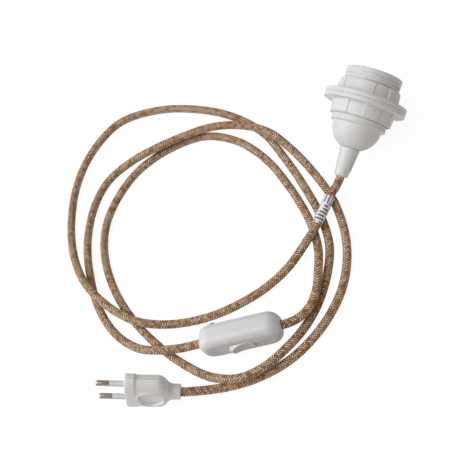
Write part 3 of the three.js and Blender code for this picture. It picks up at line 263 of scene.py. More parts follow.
white_moulded = moulded_plastic("white_moulded_polycarbonate", "#E6E6E5", "#E0DFDD", 0.42)
switch_moulded = moulded_plastic("white_moulded_switch_abs", "#E5E5E5", "#DFDEDD", 0.38)
plug_moulded = moulded_plastic("white_moulded_plug_polyamide", "#F1F0EF", "#E9E8E6", 0.42)
grey_moulded = moulded_plastic("grey_moulded_polyamide", "#D5D4D0", "#C9C8C4", 0.55)
pin_insulation = moulded_plastic("moulded_pin_sleeve", "#DCDBD8", "#D2D1CE", 0.45)
brown_insulation = moulded_plastic("brown_extruded_pvc", "#6B4226", "#5F3A20", 0.45)
blue_insulation = moulded_plastic("blue_extruded_pvc", "#2F66A8", "#295A96", 0.45)
thermoset = moulded_plastic("pressed_thermoset", "#E4DDCD", "#D8D0BE", 0.62, 0.03)
print("plastics:", white_moulded.name, switch_moulded.name, plug_moulded.name, "and five more")

# %% [markdown]
# ### Metals
# The pins are brass rods, turned on a lathe and plated with nickel. The lamp shell, contacts and terminals
# are bare brass strip, dulled a little by handling. The screws are zinc-plated steel. On all three, clouds
# of a few millimetres change the colour and fine marks change the shine.

# %% Metals
CLOUD_MM, MARK_MM, MARK_DEPTH_MM = 3.0, 0.35, 0.006


def worked_metal(name, colour, tarnish, roughness):
    material, tree, shader = new_material(name)
    marks = object_noise(tree, MARK_MM)
    feed(tree, shader, {
        "Metallic": 1.0,
        "Base Color": between(tree, object_noise(tree, CLOUD_MM), tarnish, colour),
        "Roughness": spread(tree, marks, roughness - 0.08, roughness + 0.1),
        "Normal": bump(tree, marks, 0.4, MARK_DEPTH_MM),
    })
    return material


nickel_turned = worked_metal("turned_nickel_plated_brass", "#D3CCC4", "#B8B0A7", 0.5)
brass_strip = worked_metal("rolled_brass_strip", "#D2B06A", "#B08D4C", 0.34)
zinc_steel = worked_metal("zinc_plated_steel", "#C4C8CA", "#A3A8AB", 0.36)
print("metals:", nickel_turned.name, brass_strip.name, zinc_steel.name)

# %% [markdown]
# ## The cord
# The cord is a round textile cable, 6 mm thick, in two lengths of 1.9 m together. It leaves the lampholder,
# runs round in loops on the table, passes the switch and ends in the plug. The route is a list
# of points along the centre of the cord. Where one strand crosses another, it climbs over it in a long low
# hump.

# %% The route of the cord, in millimetres
CORD_D = 6.0
REST_HEIGHT = 3.1
GAP = 0.3
LEAD = 2.5
GRIP_END = 73.05
SWITCH_L = 57
PLUG_BODY = 36

HOLDER_RUN = [
    (-0.2, -44, 9.45), (-1, -52.5, 9.8), (-1, -76.5, 10), (-2.5, -89, 9.9), (-9, -111, 4.6), (-21, -134, 3.1),
    (-43, -159.5, 3.1), (-68, -177, 4.4), (-88, -185.5, 9.7), (-107, -186.5, 10), (-126, -183.5, 10),
    (-145, -177, 10), (-161, -167, 8.6), (-178, -152.5, 3.9), (-191, -133.5, 3.1), (-202.5, -105, 3.1),
    (-204.5, -75, 3.1), (-195, -46, 3.1), (-168, -26, 3.1), (-135, -15.5, 3.1), (-103, -13, 3.1),
    (-73, -19, 3.1), (-45, -35, 3.1), (-21, -52, 3.1), (-2, -68, 3.1), (11.5, -85, 3.1), (18, -103, 3.1),
    (21, -125, 3.1), (19.5, -144, 3.9), (15.5, -161, 8), (8, -178, 10), (-5, -192, 10), (-23, -198.5, 7.6),
    (-44, -199, 3.2), (-66, -196, 3.1), (-95, -187.5, 3.1), (-122, -173.5, 3.1), (-145, -153, 3.1),
    (-158, -130, 3.1), (-161, -105, 3.1), (-156, -79, 3.1), (-140, -54, 3.1), (-117, -35.5, 3.1),
    (-89, -31.5, 3.1), (-60, -39, 3.1), (-32, -55, 3.1), (-11, -71, 3.1), (-1.7, -80.5, 3.1), (7, -92, 6.6),
    (13.5, -105, 9.9), (18, -118, 10.1), (19, -130, 10.5), (15.55, -140.3, 11.5),
]
PLUG_RUN = [
    (-52, -190.5, 10.8), (-67, -198, 10), (-84, -202.5, 6), (-107, -200, 3.1), (-130, -188, 3.1),
    (-149, -170, 3.1), (-166, -147, 3.1), (-176.5, -119, 3.1), (-176.5, -95, 3.1), (-166.5, -79, 6.2),
    (-152, -64.5, 10), (-130, -43, 10), (-111, -29, 10), (-89, -21, 10), (-66, -20, 10), (-46, -26, 7.4),
    (-22, -37.5, 3.1), (2, -54.5, 3.1), (21, -78, 3.1), (31, -105, 3.1), (31, -133, 3.1), (21.5, -163, 3.1),
    (6, -184.5, 3.1), (-12, -200, 3.6),
]


def place_mm(body, x, y, z):
    """A point of a body's own frame as millimetres on the table."""
    return tuple(v / MM for v in body @ Vector((x, y, z)))


grip_mouth = [place_mm(HOLDER, 0, 0, -(GRIP_END + GAP + lead)) for lead in (0, LEAD)]
switch_right = [place_mm(SWITCH, SWITCH_L / 2 + GAP + lead, 0, 0) for lead in (LEAD, 0)]
switch_left = [place_mm(SWITCH, -(SWITCH_L / 2 + GAP + lead), 0, 0) for lead in (0, LEAD)]
plug_tail = [place_mm(PLUG, -(PLUG_BODY + GAP + lead), 0, 0) for lead in (LEAD, 0)]
holder_course = [*grip_mouth, *HOLDER_RUN, *switch_right]
plug_course = [*switch_left, *PLUG_RUN, *plug_tail]
print("points:", len(holder_course), len(plug_course))

# %% [markdown]
# A centripetal Catmull-Rom curve goes through every point and doesn't overshoot at tight ones. It is then
# sampled at even distances, because the braid must not stretch where the points are far apart.

# %% A smooth centreline at even distances
FINE_STEPS = 60


def centreline(points, step):
    """Points at even distances along the smooth curve through these points."""
    p = np.array(points, float)
    p = np.vstack([2 * p[0] - p[1], p, 2 * p[-1] - p[-2]])
    fine = []
    for a, b, c, d in zip(p, p[1:], p[2:], p[3:]):
        knots = np.cumsum([0, *(np.linalg.norm(q - r) ** 0.5 for q, r in ((b, a), (c, b), (d, c)))])
        t0, t1, t2, t3 = knots
        t = np.linspace(t1, t2, FINE_STEPS, endpoint=False)[:, None]
        ab = (t1 - t) / (t1 - t0) * a + (t - t0) / (t1 - t0) * b
        bc = (t2 - t) / (t2 - t1) * b + (t - t1) / (t2 - t1) * c
        cd = (t3 - t) / (t3 - t2) * c + (t - t2) / (t3 - t2) * d
        abc = (t2 - t) / (t2 - t0) * ab + (t - t0) / (t2 - t0) * bc
        bcd = (t3 - t) / (t3 - t1) * bc + (t - t1) / (t3 - t1) * cd
        fine.append((t2 - t) / (t2 - t1) * abc + (t - t1) / (t2 - t1) * bcd)
    fine = np.vstack([*fine, p[-2]])
    fine[:, 2] = np.maximum(fine[:, 2], REST_HEIGHT)
    far = np.concatenate([[0], np.cumsum(np.linalg.norm(np.diff(fine, axis=0), axis=1))])
    even = np.linspace(0, far[-1], int(round(far[-1] / step)) + 1)
    return np.stack([np.interp(even, far, fine[:, k]) for k in range(3)], 1), far[-1]


# %% [markdown]
# ### Braid
# Sixteen carriers wind round the cord, eight each way, and each goes over two of the others and under two.
# That gives the herringbone of slanted floats, each about 3 mm long. The relief is real geometry: a ring of
# points about every half millimetre, whose radius rises on the yarn that is on top and falls between the
# yarns. Two numbers follow the yarns, one for each family of helices, and the shader reads them from the UV
# map.

# %% The braided cord as a mesh
YARNS = 8
YARN_PITCH_MM = 1.8
SAMPLES_PER_YARN = 4
SAMPLE_MM = YARN_PITCH_MM / SAMPLES_PER_YARN
SIDES = YARNS * SAMPLES_PER_YARN
TURN = np.arange(SIDES) / SIDES
BRAID_RELIEF, BRAID_MEAN = 0.34, 0.75
YARN_FULLNESS = 0.7


def braid_height(turns, distance_mm):
    """How high the yarn that is on top stands there, from 0 between yarns to 1."""
    one = YARNS * turns + distance_mm / YARN_PITCH_MM
    other = YARNS * turns - distance_mm / YARN_PITCH_MM
    phase = (np.floor(one) + np.floor(other)) % 4
    one_on_top = phase < 1.5
    across = np.where(one_on_top, one % 1, other % 1)
    lengthwise = (phase % 2 + np.where(one_on_top, other % 1, one % 1)) / 2
    return np.sin(np.pi * across) ** YARN_FULLNESS * (0.5 + 0.5 * np.sin(np.pi * lengthwise))


def ring_of(centre, side, other, angles, radii):
    """Points round a centre, in the plane of two directions."""
    return centre + radii[:, None] * (np.cos(angles)[:, None] * side + np.sin(angles)[:, None] * other)


def cord_rings(line, distances):
    """The braid's rings round a centreline, turned as little as possible from one to the next."""
    ways = np.gradient(line, axis=0)
    ways /= np.linalg.norm(ways, axis=1)[:, None]
    side = np.cross(ways[0], (0, 0, 1))
    side /= np.linalg.norm(side)
    rings = []
    for centre, way, distance in zip(line, ways, distances):
        side = side - way * (side @ way)
        side /= np.linalg.norm(side)
        relief = BRAID_RELIEF * (braid_height(TURN, distance) - BRAID_MEAN)
        rings.append(ring_of(centre, side, np.cross(way, side), 2 * np.pi * TURN, CORD_D / 2 + relief))
    return np.array(rings)


def grid_faces(rows, columns, closed):
    """Quads of a grid whose columns go round, and whose rows close on themselves or end in caps."""
    index = np.arange(rows * columns).reshape(rows, columns)
    low = index if closed else index[:-1]
    high = np.roll(index, -1, 0) if closed else index[1:]
    quads = np.stack([low, np.roll(low, -1, 1), np.roll(high, -1, 1), high], 2).reshape(-1, 4).tolist()
    if not closed:
        quads += [index[0][::-1].tolist(), index[-1].tolist()]
    return quads


def tube_mesh(name, rings, lengths_m, material):
    """A closed tube from rings of points, with turns and metres along it as its UV map."""
    count, around = rings.shape[:2]
    mesh = bpy.data.meshes.new(name)
    mesh.from_pydata((rings.reshape(-1, 3) * MM).tolist(), [], grid_faces(count, around, False))
    u = np.arange(around) / around
    step = 1 / around
    left = np.tile(u, (count - 1, 1))
    low = np.tile(lengths_m[:-1, None], (1, around))
    high = np.tile(lengths_m[1:, None], (1, around))
    corners = np.stack([left, low, left + step, low, left + step, high, left, high], 2).reshape(-1)
    ends = np.concatenate([
        np.stack([u[::-1], np.full(around, lengths_m[0])], 1).ravel(),
        np.stack([u, np.full(around, lengths_m[-1])], 1).ravel(),
    ])
    layer = mesh.uv_layers.new(name="along_cord")
    layer.data.foreach_set("uv", np.concatenate([corners, ends]).astype(np.float32))
    mesh.materials.append(material)
    mesh.shade_smooth()
    return in_scene(name, mesh)


# %% [markdown]
# ### Yarn
# The yarn is a natural jute or cotton blend: sand-coloured with darker brown flecks, matt, a little fuzzy.
# Each float of the braid takes its own tint, and the gaps between the yarns are dark, because little light
# gets into them. Fuzz shows as a soft sheen at grazing angles.

# %% Helpers for patterns along the cord
def mixed(tree, share, first, second):
    """The first number where the share is 0, the second where it is 1."""
    inputs = {"Factor": share, "A": first, "B": second}
    return add(tree, "ShaderNodeMix", inputs, data_type="FLOAT").outputs[0]


def place_on_cord(tree):
    """Turns round the cord and metres along it, from the UV map."""
    uv = add(tree, "ShaderNodeUVMap", uv_map="along_cord")
    parts = add(tree, "ShaderNodeSeparateXYZ", {"Vector": uv.outputs["UV"]})
    return parts.outputs["X"], parts.outputs["Y"]


def chance_of_cell(tree, x, y, dimensions):
    """A random number for each cell of a grid."""
    cell = add(tree, "ShaderNodeCombineXYZ", {"X": x, "Y": y}).outputs["Vector"]
    noise = add(tree, "ShaderNodeTexWhiteNoise", {"Vector": cell}, noise_dimensions=dimensions)
    return noise.outputs["Value"]


# %% Yarn material
YARN_TINTS = ((0.0, "#A2744A"), (0.28, "#CFA57B"), (0.62, "#E6C3A0"), (1.0, "#F2DCC0"))
YARN_SHADE = "#A5744A"
# Painted shade: the dark colour between the yarns, where little light gets in.
YARN_GAP_PAINTED_SHADE = "#452B17"
FIBRE_MM, FIBRE_SHARE = 0.35, 0.35
GAP_UP_TO, YARN_FROM = 0.12, 0.72


def braided_yarn(name):
    material, tree, shader = new_material(name)
    turn, metres = place_on_cord(tree)
    turns = number(tree, "MULTIPLY", turn, YARNS)
    distance = number(tree, "MULTIPLY", metres, 1 / (YARN_PITCH_MM * MM))
    one = number(tree, "ADD", turns, distance)
    other = number(tree, "SUBTRACT", turns, distance)
    one_cell = number(tree, "FLOOR", one)
    other_cell = number(tree, "FLOOR", other)
    total = number(tree, "ADD", one_cell, other_cell)
    phase = number(tree, "FLOORED_MODULO", total, 4.0)
    under = number(tree, "GREATER_THAN", phase, 1.5)
    second = number(tree, "FLOORED_MODULO", phase, 2.0)
    across = number(tree, "FRACT", mixed(tree, under, one, other))
    within = number(tree, "FRACT", mixed(tree, under, other, one))
    lengthwise = number(tree, "MULTIPLY", number(tree, "ADD", second, within), 0.5)
    crown = number(tree, "SINE", number(tree, "MULTIPLY", across, math.pi))
    swell = number(tree, "SINE", number(tree, "MULTIPLY", lengthwise, math.pi))
    height = number(tree, "MULTIPLY", crown, number(tree, "ADD", number(tree, "MULTIPLY", swell, 0.5), 0.5))

    way = number(tree, "SUBTRACT", 1.0, number(tree, "MULTIPLY", under, 2.0))
    back_to_start = number(tree, "MULTIPLY", second, way)
    cell_x = number(tree, "ADD", number(tree, "SUBTRACT", one_cell, other_cell), back_to_start)
    cell_y = number(tree, "FLOORED_MODULO", number(tree, "SUBTRACT", total, second), 2.0 * YARNS)
    tints = add(tree, "ShaderNodeValToRGB", {"Fac": chance_of_cell(tree, cell_x, cell_y, "3D")})
    ramp = tints.color_ramp
    for place, colour in YARN_TINTS[1:-1]:
        ramp.elements.new(place).color = linear(colour)
    ramp.elements[0].color = linear(YARN_TINTS[0][1])
    ramp.elements[-1].color = linear(YARN_TINTS[-1][1])
    fibres = object_noise(tree, FIBRE_MM, 3.0)
    fibre_share = number(tree, "MULTIPLY", fibres, FIBRE_SHARE)
    lit = between(tree, fibre_share, tints.outputs["Color"], YARN_SHADE)
    # The yarn's colour turns to the painted shade where the braid is low, between the yarns.
    openness = add(tree, "ShaderNodeMapRange", {
        "Value": height, "From Min": GAP_UP_TO, "From Max": YARN_FROM})
    relief = number(tree, "ADD", height, number(tree, "MULTIPLY", fibres, 0.3))
    feed(tree, shader, {
        "Base Color": between(tree, openness.outputs["Result"], YARN_GAP_PAINTED_SHADE, lit),
        "Normal": bump(tree, relief, 0.7, 0.2),
        "Roughness": 0.88, "Sheen Weight": 0.15, "Sheen Roughness": 0.5,
    })
    return material


yarn = braided_yarn("braided_jute_yarn")
print("yarn:", yarn.name)

# %% Lay the two cords
def braided_cord(name, course, node):
    line, length_mm = centreline(course, SAMPLE_MM)
    distances = np.arange(len(line)) * length_mm / (len(line) - 1)
    cord = tube_mesh(name, cord_rings(line, distances), distances * MM, yarn)
    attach(cord, "root")
    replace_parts(cord, node)
    print(name, round(length_mm), "mm,", len(cord.data.polygons), "faces")
    return cord, line, length_mm


holder_cord, holder_line, holder_length = braided_cord(
    "cord_from_holder", holder_course, "cord_holder_to_switch")
plug_cord, plug_line, plug_length = braided_cord("cord_to_plug", plug_course, "cord_switch_to_plug")

# %% [markdown]
# ## Tools for the hard parts
# Most hard parts here are turned or moulded. A turned part is a grid of points: one row for each step of
# its profile and one column for each step round the axis. Since the radius may depend on the angle, the same
# grid also makes a thread or a row of panels. Holes are cut with Boolean modifiers, and a narrow Bevel
# modifier gives the cut edges the small radius that every moulded edge has.

# %% Mesh helpers
SHARP_FROM = 38
AXIS_TURNS = {
    "x": Matrix.Rotation(math.pi / 2, 4, "Y"),
    "y": Matrix.Rotation(-math.pi / 2, 4, "X"),
    "z": Matrix.Identity(4),
}


def smooth(mesh, sharp_from=SHARP_FROM):
    """Smooth shading, with a crease where two faces meet at more than this many degrees."""
    mesh.shade_smooth()
    mesh.set_sharp_from_angle(angle=math.radians(sharp_from))


def clean(mesh, merge_within):
    """Merges points that lie together, turns the faces outwards and smooths the soft edges."""
    work = bmesh.new()
    work.from_mesh(mesh)
    bmesh.ops.remove_doubles(work, verts=work.verts, dist=merge_within)
    bmesh.ops.recalc_face_normals(work, faces=work.faces)
    work.to_mesh(mesh)
    work.free()
    smooth(mesh)


def new_piece(name, vertices_mm, faces, material):
    """An object from points in millimetres."""
    mesh = bpy.data.meshes.new(name)
    mesh.from_pydata([tuple(v) for v in vertices_mm], [], faces)
    mesh.materials.append(material)
    clean(mesh, 1e-5)
    return in_scene(name, mesh)


def piece_of_rings(name, rings, material, closed=False):
    """A piece from rings of points that follow each other."""
    points = [p for ring in rings for p in ring]
    return new_piece(name, points, grid_faces(len(rings), len(rings[0]), closed), material)


def turned(name, profile, material, columns=96, closed=True, angles=None, radius_at=None):
    """A part turned about Z from [radius, height] pairs. radius_at(r, z, angles) may bend a row's radii."""
    angles = np.arange(columns) * 2 * np.pi / columns if angles is None else angles
    rows = []
    for r, z in profile:
        radii = radius_at(r, z, angles) if radius_at else r
        rows.append(np.stack([radii * np.cos(angles), radii * np.sin(angles), np.full(len(angles), z)], 1))
    return piece_of_rings(name, rows, material, closed)


def box_mm(name, low, high):
    """A plain box, used as a cutter or to build on."""
    corners = [(x, y, z) for x in (low[0], high[0]) for y in (low[1], high[1]) for z in (low[2], high[2])]
    faces = [(0, 1, 3, 2), (4, 6, 7, 5), (0, 4, 5, 1), (2, 3, 7, 6), (0, 2, 6, 4), (1, 5, 7, 3)]
    return new_piece(name, corners, faces, white_moulded)


def rod_mm(name, axis, radius, start, end, at=(0, 0), columns=32):
    """A rod along x, y or z, centred on the other two coordinates."""
    rod = turned(name, [(radius, start), (radius, end)], white_moulded, columns, closed=False)
    shift = [*at]
    shift.insert("xyz".index(axis), 0)
    rod.data.transform(Matrix.Translation(shift) @ AXIS_TURNS[axis])
    return rod


def apply_modifiers(piece):
    """Puts the result of the piece's modifiers in its mesh."""
    bpy.context.view_layer.update()
    evaluated = piece.evaluated_get(bpy.context.evaluated_depsgraph_get())
    result = bpy.data.meshes.new_from_object(evaluated)
    result.name = piece.name
    piece.modifiers.clear()
    piece.data = result


def combine(piece, tools, operation):
    """Joins, cuts or meets the piece with each tool in turn, and removes the tools."""
    for tool in tools:
        modifier = piece.modifiers.new("shape", "BOOLEAN")
        modifier.operation = operation
        modifier.solver = "EXACT"
        modifier.object = tool
        apply_modifiers(piece)
        bpy.data.objects.remove(tool)
    return piece


def round_edges(piece, width, angle=40):
    """A narrow bevel on every edge that is sharper than the angle."""
    bevel = piece.modifiers.new("edge", "BEVEL")
    bevel.width = width
    bevel.segments = 2
    bevel.limit_method = "ANGLE"
    bevel.angle_limit = math.radians(angle)
    bevel.use_clamp_overlap = True
    apply_modifiers(piece)
    smooth(piece.data, 46)


def settle(piece, body_frame, body, slot, *nodes):
    """Puts a piece that was drawn in its body's millimetres in its place, on its body, for its nodes."""
    piece.data.transform(body_frame)
    piece.data.update()
    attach(piece, body)
    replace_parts(piece, *nodes)
    print(f"{piece.name}: {len(piece.data.polygons)} faces, for {', '.join(nodes)}")


# %% Helpers for profiles
def arc(centre, radius, start, end, steps):
    """Points of an arc in degrees, from start to end."""
    angles = [math.radians(start + (end - start) * k / steps) for k in range(steps + 1)]
    return [(centre[0] + radius * math.cos(a), centre[1] + radius * math.sin(a)) for a in angles]


def eased(share):
    """A step from 0 to 1 that starts and ends gently."""
    return share * share * (3 - 2 * share)


def faded(depth, top, end, run):
    """1 between two depths, falling to 0 over a short run at each of them."""
    return np.clip((depth - top) / run, 0, 1) * np.clip((end - depth) / run, 0, 1)


# %% [markdown]
# ## Lampholder
# All its heights are depths below the rim of the mouth. The outer skirt has a coarse thread of 2.5 mm
# pitch for the shade rings: flat crests with narrow grooves between them, which climb round it as a true
# helix. The groove fades out at both ends, as it does on a moulded thread.

# %% Skirt with its helical thread
THREAD_R = 19.7
THREAD_DEPTH, GROOVE_DEPTH = 0.7, 1.0
GROOVE_HALF, GROOVE_FLANK = 0.27, 0.17
THREAD_PITCH, THREAD_STEP, THREAD_FADE = 2.5, 0.25, 0.8
THREAD_TOP, THREAD_END = 2.9, 32.4
SKIRT_R = THREAD_R - THREAD_DEPTH
SKIRT_BORE_R = SKIRT_R - 2.1
CAP_LIP_R = SKIRT_R + 0.1
CAP_BORE_R = CAP_LIP_R - 2
BLOCK_SEAT, BLOCK_BORE_R = 32.75, 15.4
SKIRT_NECK_R = CAP_BORE_R - GAP
NECK_TOP = 32.85
SKIRT_END = 36.95


def groove(z, angles):
    """Depth of the thread's groove there, as a share of its full depth."""
    turn = (-z / THREAD_PITCH - angles / (2 * np.pi)) % 1
    shape = np.clip((GROOVE_HALF - np.abs(turn - 0.5)) / GROOVE_FLANK, 0, 1)
    return eased(shape) * faded(-z, THREAD_TOP, THREAD_END, THREAD_FADE)


def threaded_radius(r, z, angles):
    on_thread = r > THREAD_R - 0.01 and -THREAD_END <= z <= -THREAD_TOP
    return r - GROOVE_DEPTH * groove(z, angles) if on_thread else r


skirt_profile = [
    *arc((THREAD_R - 0.5, -0.5), 0.5, 90, 0, 4),
    *[(THREAD_R, -d) for d in np.arange(THREAD_TOP, THREAD_END + 0.01, THREAD_STEP)],
    (SKIRT_R, -THREAD_END - 0.2), (SKIRT_R, -NECK_TOP), (SKIRT_NECK_R, -NECK_TOP),
    (SKIRT_NECK_R, -SKIRT_END), (BLOCK_BORE_R, -SKIRT_END), (BLOCK_BORE_R, -BLOCK_SEAT),
    (SKIRT_BORE_R, -BLOCK_SEAT), *arc((SKIRT_BORE_R + 0.4, -0.4), 0.4, 180, 90, 4),
]
skirt = turned("threaded_skirt", skirt_profile, white_moulded, 128, radius_at=threaded_radius)
settle(skirt, HOLDER, "root", "white_plastic", "holder_skirt")

# %% [markdown]
# The two shade rings are the same moulding, face to face, and a lamp shade is clamped between their
# flanges. Twelve panels run round each skirt, every second one a little lower, so that fingers can turn it.
# The columns of the grid are crowded at the edges of the panels, which keeps those steps crisp.

# %% Shade rings
RING_FLANGE_R, RING_FLANGE_T = 28.7, 2.9
RING_HEIGHT = 11.75
RING_BORE_R = THREAD_R + GAP
RING_PANEL_R = RING_BORE_R + 2.5
RING_STEP = 0.6
RING_TAPER = 0.035
RING_SECTORS = 12
RINGS_MEET = 20.5
MEETING_LIP = 0.11
UPPER_RING_TURN, LOWER_RING_TURN = 26, 20

sector = 2 * math.pi / RING_SECTORS
sector_steps = (0.012, 0.03, 0.25, 0.5, 0.75, 0.97, 0.988)
ring_angles = np.array([sector * (k + s) for k in range(RING_SECTORS) for s in sector_steps])
sunk_panel = np.repeat(np.arange(RING_SECTORS) % 2, len(sector_steps))


def panel_radius(r, z, angles):
    on_panel = z > RING_FLANGE_T + 0.2 and r >= RING_BORE_R + 0.5
    return r - RING_STEP * sunk_panel if on_panel else r


def shade_ring(name, flip, body, node, turn_degrees):
    top_r = RING_PANEL_R * (1 - RING_TAPER)
    root_r = RING_PANEL_R * (1 - RING_TAPER * RING_FLANGE_T / RING_HEIGHT)
    profile = [
        (RING_BORE_R, 0), (RING_BORE_R + 0.4, -MEETING_LIP),
        *arc((RING_FLANGE_R - 0.3, 0.3 - MEETING_LIP), 0.3, -90, 0, 3),
        *arc((RING_FLANGE_R - 0.5, RING_FLANGE_T - 0.5), 0.5, 0, 90, 4),
        (root_r + 0.5, RING_FLANGE_T), (root_r + 0.15, RING_FLANGE_T + 0.12), (root_r, RING_FLANGE_T + 0.5),
        (root_r * 0.6 + top_r * 0.4, RING_FLANGE_T + 3.5), (top_r + 0.02, RING_HEIGHT - 0.5),
        *arc((top_r - 0.5, RING_HEIGHT - 0.5), 0.5, 15, 90, 4), (RING_BORE_R + 0.3, RING_HEIGHT),
        (RING_BORE_R, RING_HEIGHT - 0.4),
    ]
    ring = turned(name, profile, white_moulded, angles=ring_angles, radius_at=panel_radius)
    place = Matrix.Translation((0, 0, -(RINGS_MEET + (GAP if flip else 0))))
    over = Matrix.Rotation(math.pi if flip else 0, 4, "X")
    turn = Matrix.Rotation(math.radians(turn_degrees), 4, "Z")
    settle(ring, HOLDER @ place @ turn @ over, body, "white_plastic", node)


shade_ring("shade_ring_of_mouth", False, "ring_upper", "shade_ring_upper", UPPER_RING_TURN)
shade_ring("shade_ring_of_cap", True, "ring_lower", "shade_ring_lower", LOWER_RING_TURN)

# %% [markdown]
# The cap closes the back. Its short threaded lip stands out past the dome, and the dome is half a ball with
# a hole for the cord grip.

# %% Cap and dome
CAP_TOP, CAP_LIP_END = NECK_TOP, 37.25
CAP_RIDGE = 0.45
DOME_R, DOME_WALL = 17.2, 2.0
NIPPLE_R, NIPPLE_L = 4.9, 5


def dome_arc(radius, start, end, steps):
    """An arc of the dome, in degrees from its edge. None stands for the hole's rim."""
    rim = -math.degrees(math.acos((NIPPLE_R + GAP) / radius))
    return arc((0, -CAP_LIP_END), radius, *(rim if v is None else v for v in (start, end)), steps)


below_top = [
    (-0.2, 0), (0, 0.15), (CAP_RIDGE, 0.35), (CAP_RIDGE, 0.9), (0, 1.15), (-0.05, 1.9), (0.2, 2.1),
    (0.22, 2.5), (0, 2.7),
]
above_end = [(0, 1.4), (CAP_RIDGE, 1.2), (CAP_RIDGE, 0.65), (0.2, 0.35), (-0.4, 0.1)]
cap_profile = [
    (CAP_BORE_R, -CAP_TOP), *[(CAP_LIP_R + out, -CAP_TOP - down) for out, down in below_top],
    *[(CAP_LIP_R + out, -CAP_LIP_END + up) for out, up in above_end], (DOME_R + 0.6, -CAP_LIP_END),
    *dome_arc(DOME_R, -3, None, 28), *dome_arc(DOME_R - DOME_WALL, None, 0, 16),
    (CAP_BORE_R, -CAP_LIP_END + 0.1),
]
cap = turned("domed_cap", cap_profile, white_moulded, 112)
settle(cap, HOLDER, "root", "white_plastic", "holder_cap")

# %% [markdown]
# The cord grip is a nut with a long cone that ends on the cord. Its foot follows the dome. A patch of slanted
# finger ribs stands on one side. The ribs repeat, so Geometry Nodes place them: a line of points down the
# cone, and on each point a round bar, bent to the cone.

# %% Cord grip
GRIP_TOP_R, GRIP_END_R = 7.2, 4.8
GRIP_BORE_R = 3.3


def foot_height(r):
    """Height of the grip's foot, which follows the dome."""
    return -(CAP_LIP_END + math.sqrt((DOME_R + GAP) ** 2 - r ** 2))


grip_foot = foot_height(GRIP_TOP_R)
CONE_TOP_R, CONE_TOP = GRIP_TOP_R - 0.25, grip_foot - 2.1
CONE_LENGTH = GRIP_END - 0.5 + grip_foot - 2.1


def cone(share):
    """Radius and height at a share of the cone's length."""
    return CONE_TOP_R - (CONE_TOP_R - GRIP_END_R) * share, CONE_TOP - CONE_LENGTH * share


nipple_top = -(CAP_LIP_END + DOME_R - DOME_WALL - NIPPLE_L)
grip_profile = [
    (GRIP_BORE_R, -GRIP_END + 0.3), (GRIP_BORE_R, nipple_top), (NIPPLE_R, nipple_top),
    (NIPPLE_R, foot_height(NIPPLE_R)), (GRIP_TOP_R - 0.3, foot_height(GRIP_TOP_R - 0.3)),
    (GRIP_TOP_R, grip_foot - 0.3), (GRIP_TOP_R, grip_foot - 1.4), (CONE_TOP_R, CONE_TOP),
    cone(0.33), cone(0.66), cone(1.0),
    (GRIP_END_R - 0.15, -GRIP_END + 0.15), (GRIP_END_R - 0.4, -GRIP_END), (GRIP_BORE_R + 0.3, -GRIP_END),
]
grip = turned("grip_cone", grip_profile, white_moulded, 72)
print("grip from", round(nipple_top, 1), "to", -GRIP_END)

# %% Helpers for Geometry Nodes
def node_tree(name, inputs):
    """A geometry tree with named numbers as inputs, and the outputs that give them."""
    tree = bpy.data.node_groups.new(name, "GeometryNodeTree")
    tree.interface.new_socket("Geometry", in_out="OUTPUT", socket_type="NodeSocketGeometry")
    tree.interface.new_socket("Geometry", in_out="INPUT", socket_type="NodeSocketGeometry")
    for label, value in inputs.items():
        tree.interface.new_socket(label, in_out="INPUT", socket_type="NodeSocketFloat").default_value = value
    return tree, add(tree, "NodeGroupInput").outputs


def end_tree(tree, given, shape, material, **placing_inputs):
    """Puts the shape on each given point, gives it its material and ends the tree."""
    inputs = {"Points": given["Geometry"], "Instance": shape, **placing_inputs}
    placed = add(tree, "GeometryNodeInstanceOnPoints", inputs)
    real = add(tree, "GeometryNodeRealizeInstances", {"Geometry": placed.outputs["Instances"]})
    painted = add(tree, "GeometryNodeSetMaterial", {
        "Geometry": real.outputs["Geometry"], "Material": material})
    add(tree, "NodeGroupOutput", {"Geometry": painted.outputs["Geometry"]})


def grown(name, tree, points_mm, values):
    """A plain mesh from a tree, on these points, with these values for its named inputs."""
    mesh = bpy.data.meshes.new(name)
    mesh.from_pydata(points_mm, [], [])
    piece = in_scene(name, mesh)
    modifier = piece.modifiers.new("nodes", "NODES")
    modifier.node_group = tree
    for item in tree.interface.items_tree:
        if item.in_out == "INPUT" and item.name in values:
            modifier[item.identifier] = values[item.name]
    apply_modifiers(piece)
    clean(piece.data, 1e-4)
    return piece


# %% Finger ribs on the grip
RIBS, RIB_PITCH, RIB_R, FIRST_RIB = 7, 1.65, 0.46, 3.6
RIB_SLANT = math.radians(-30)
RIB_SIDE = math.radians(-30)
RIB_SWEEP = math.radians(76)
RIB_BEND_R, RIB_LIFT = 6.2, 0.15
rib_tree, given = node_tree("finger_ribs", {
    "Bend radius": RIB_BEND_R, "Rib radius": RIB_R, "Sweep": RIB_SWEEP, "Slant": RIB_SLANT,
})
rib_arc = add(rib_tree, "GeometryNodeCurveArc", {
    "Resolution": 18, "Radius": given["Bend radius"],
    "Start Angle": number(rib_tree, "MULTIPLY", given["Sweep"], -0.5), "Sweep Angle": given["Sweep"],
})
rib_section = add(rib_tree, "GeometryNodeCurvePrimitiveCircle", {
    "Resolution": 12, "Radius": given["Rib radius"]})
bar = add(rib_tree, "GeometryNodeCurveToMesh", {
    "Curve": rib_arc.outputs["Curve"], "Profile Curve": rib_section.outputs["Curve"], "Fill Caps": True})
slant = add(rib_tree, "ShaderNodeCombineXYZ", {"X": given["Slant"]})
end_tree(rib_tree, given, bar.outputs["Mesh"], white_moulded, Rotation=slant.outputs["Vector"])

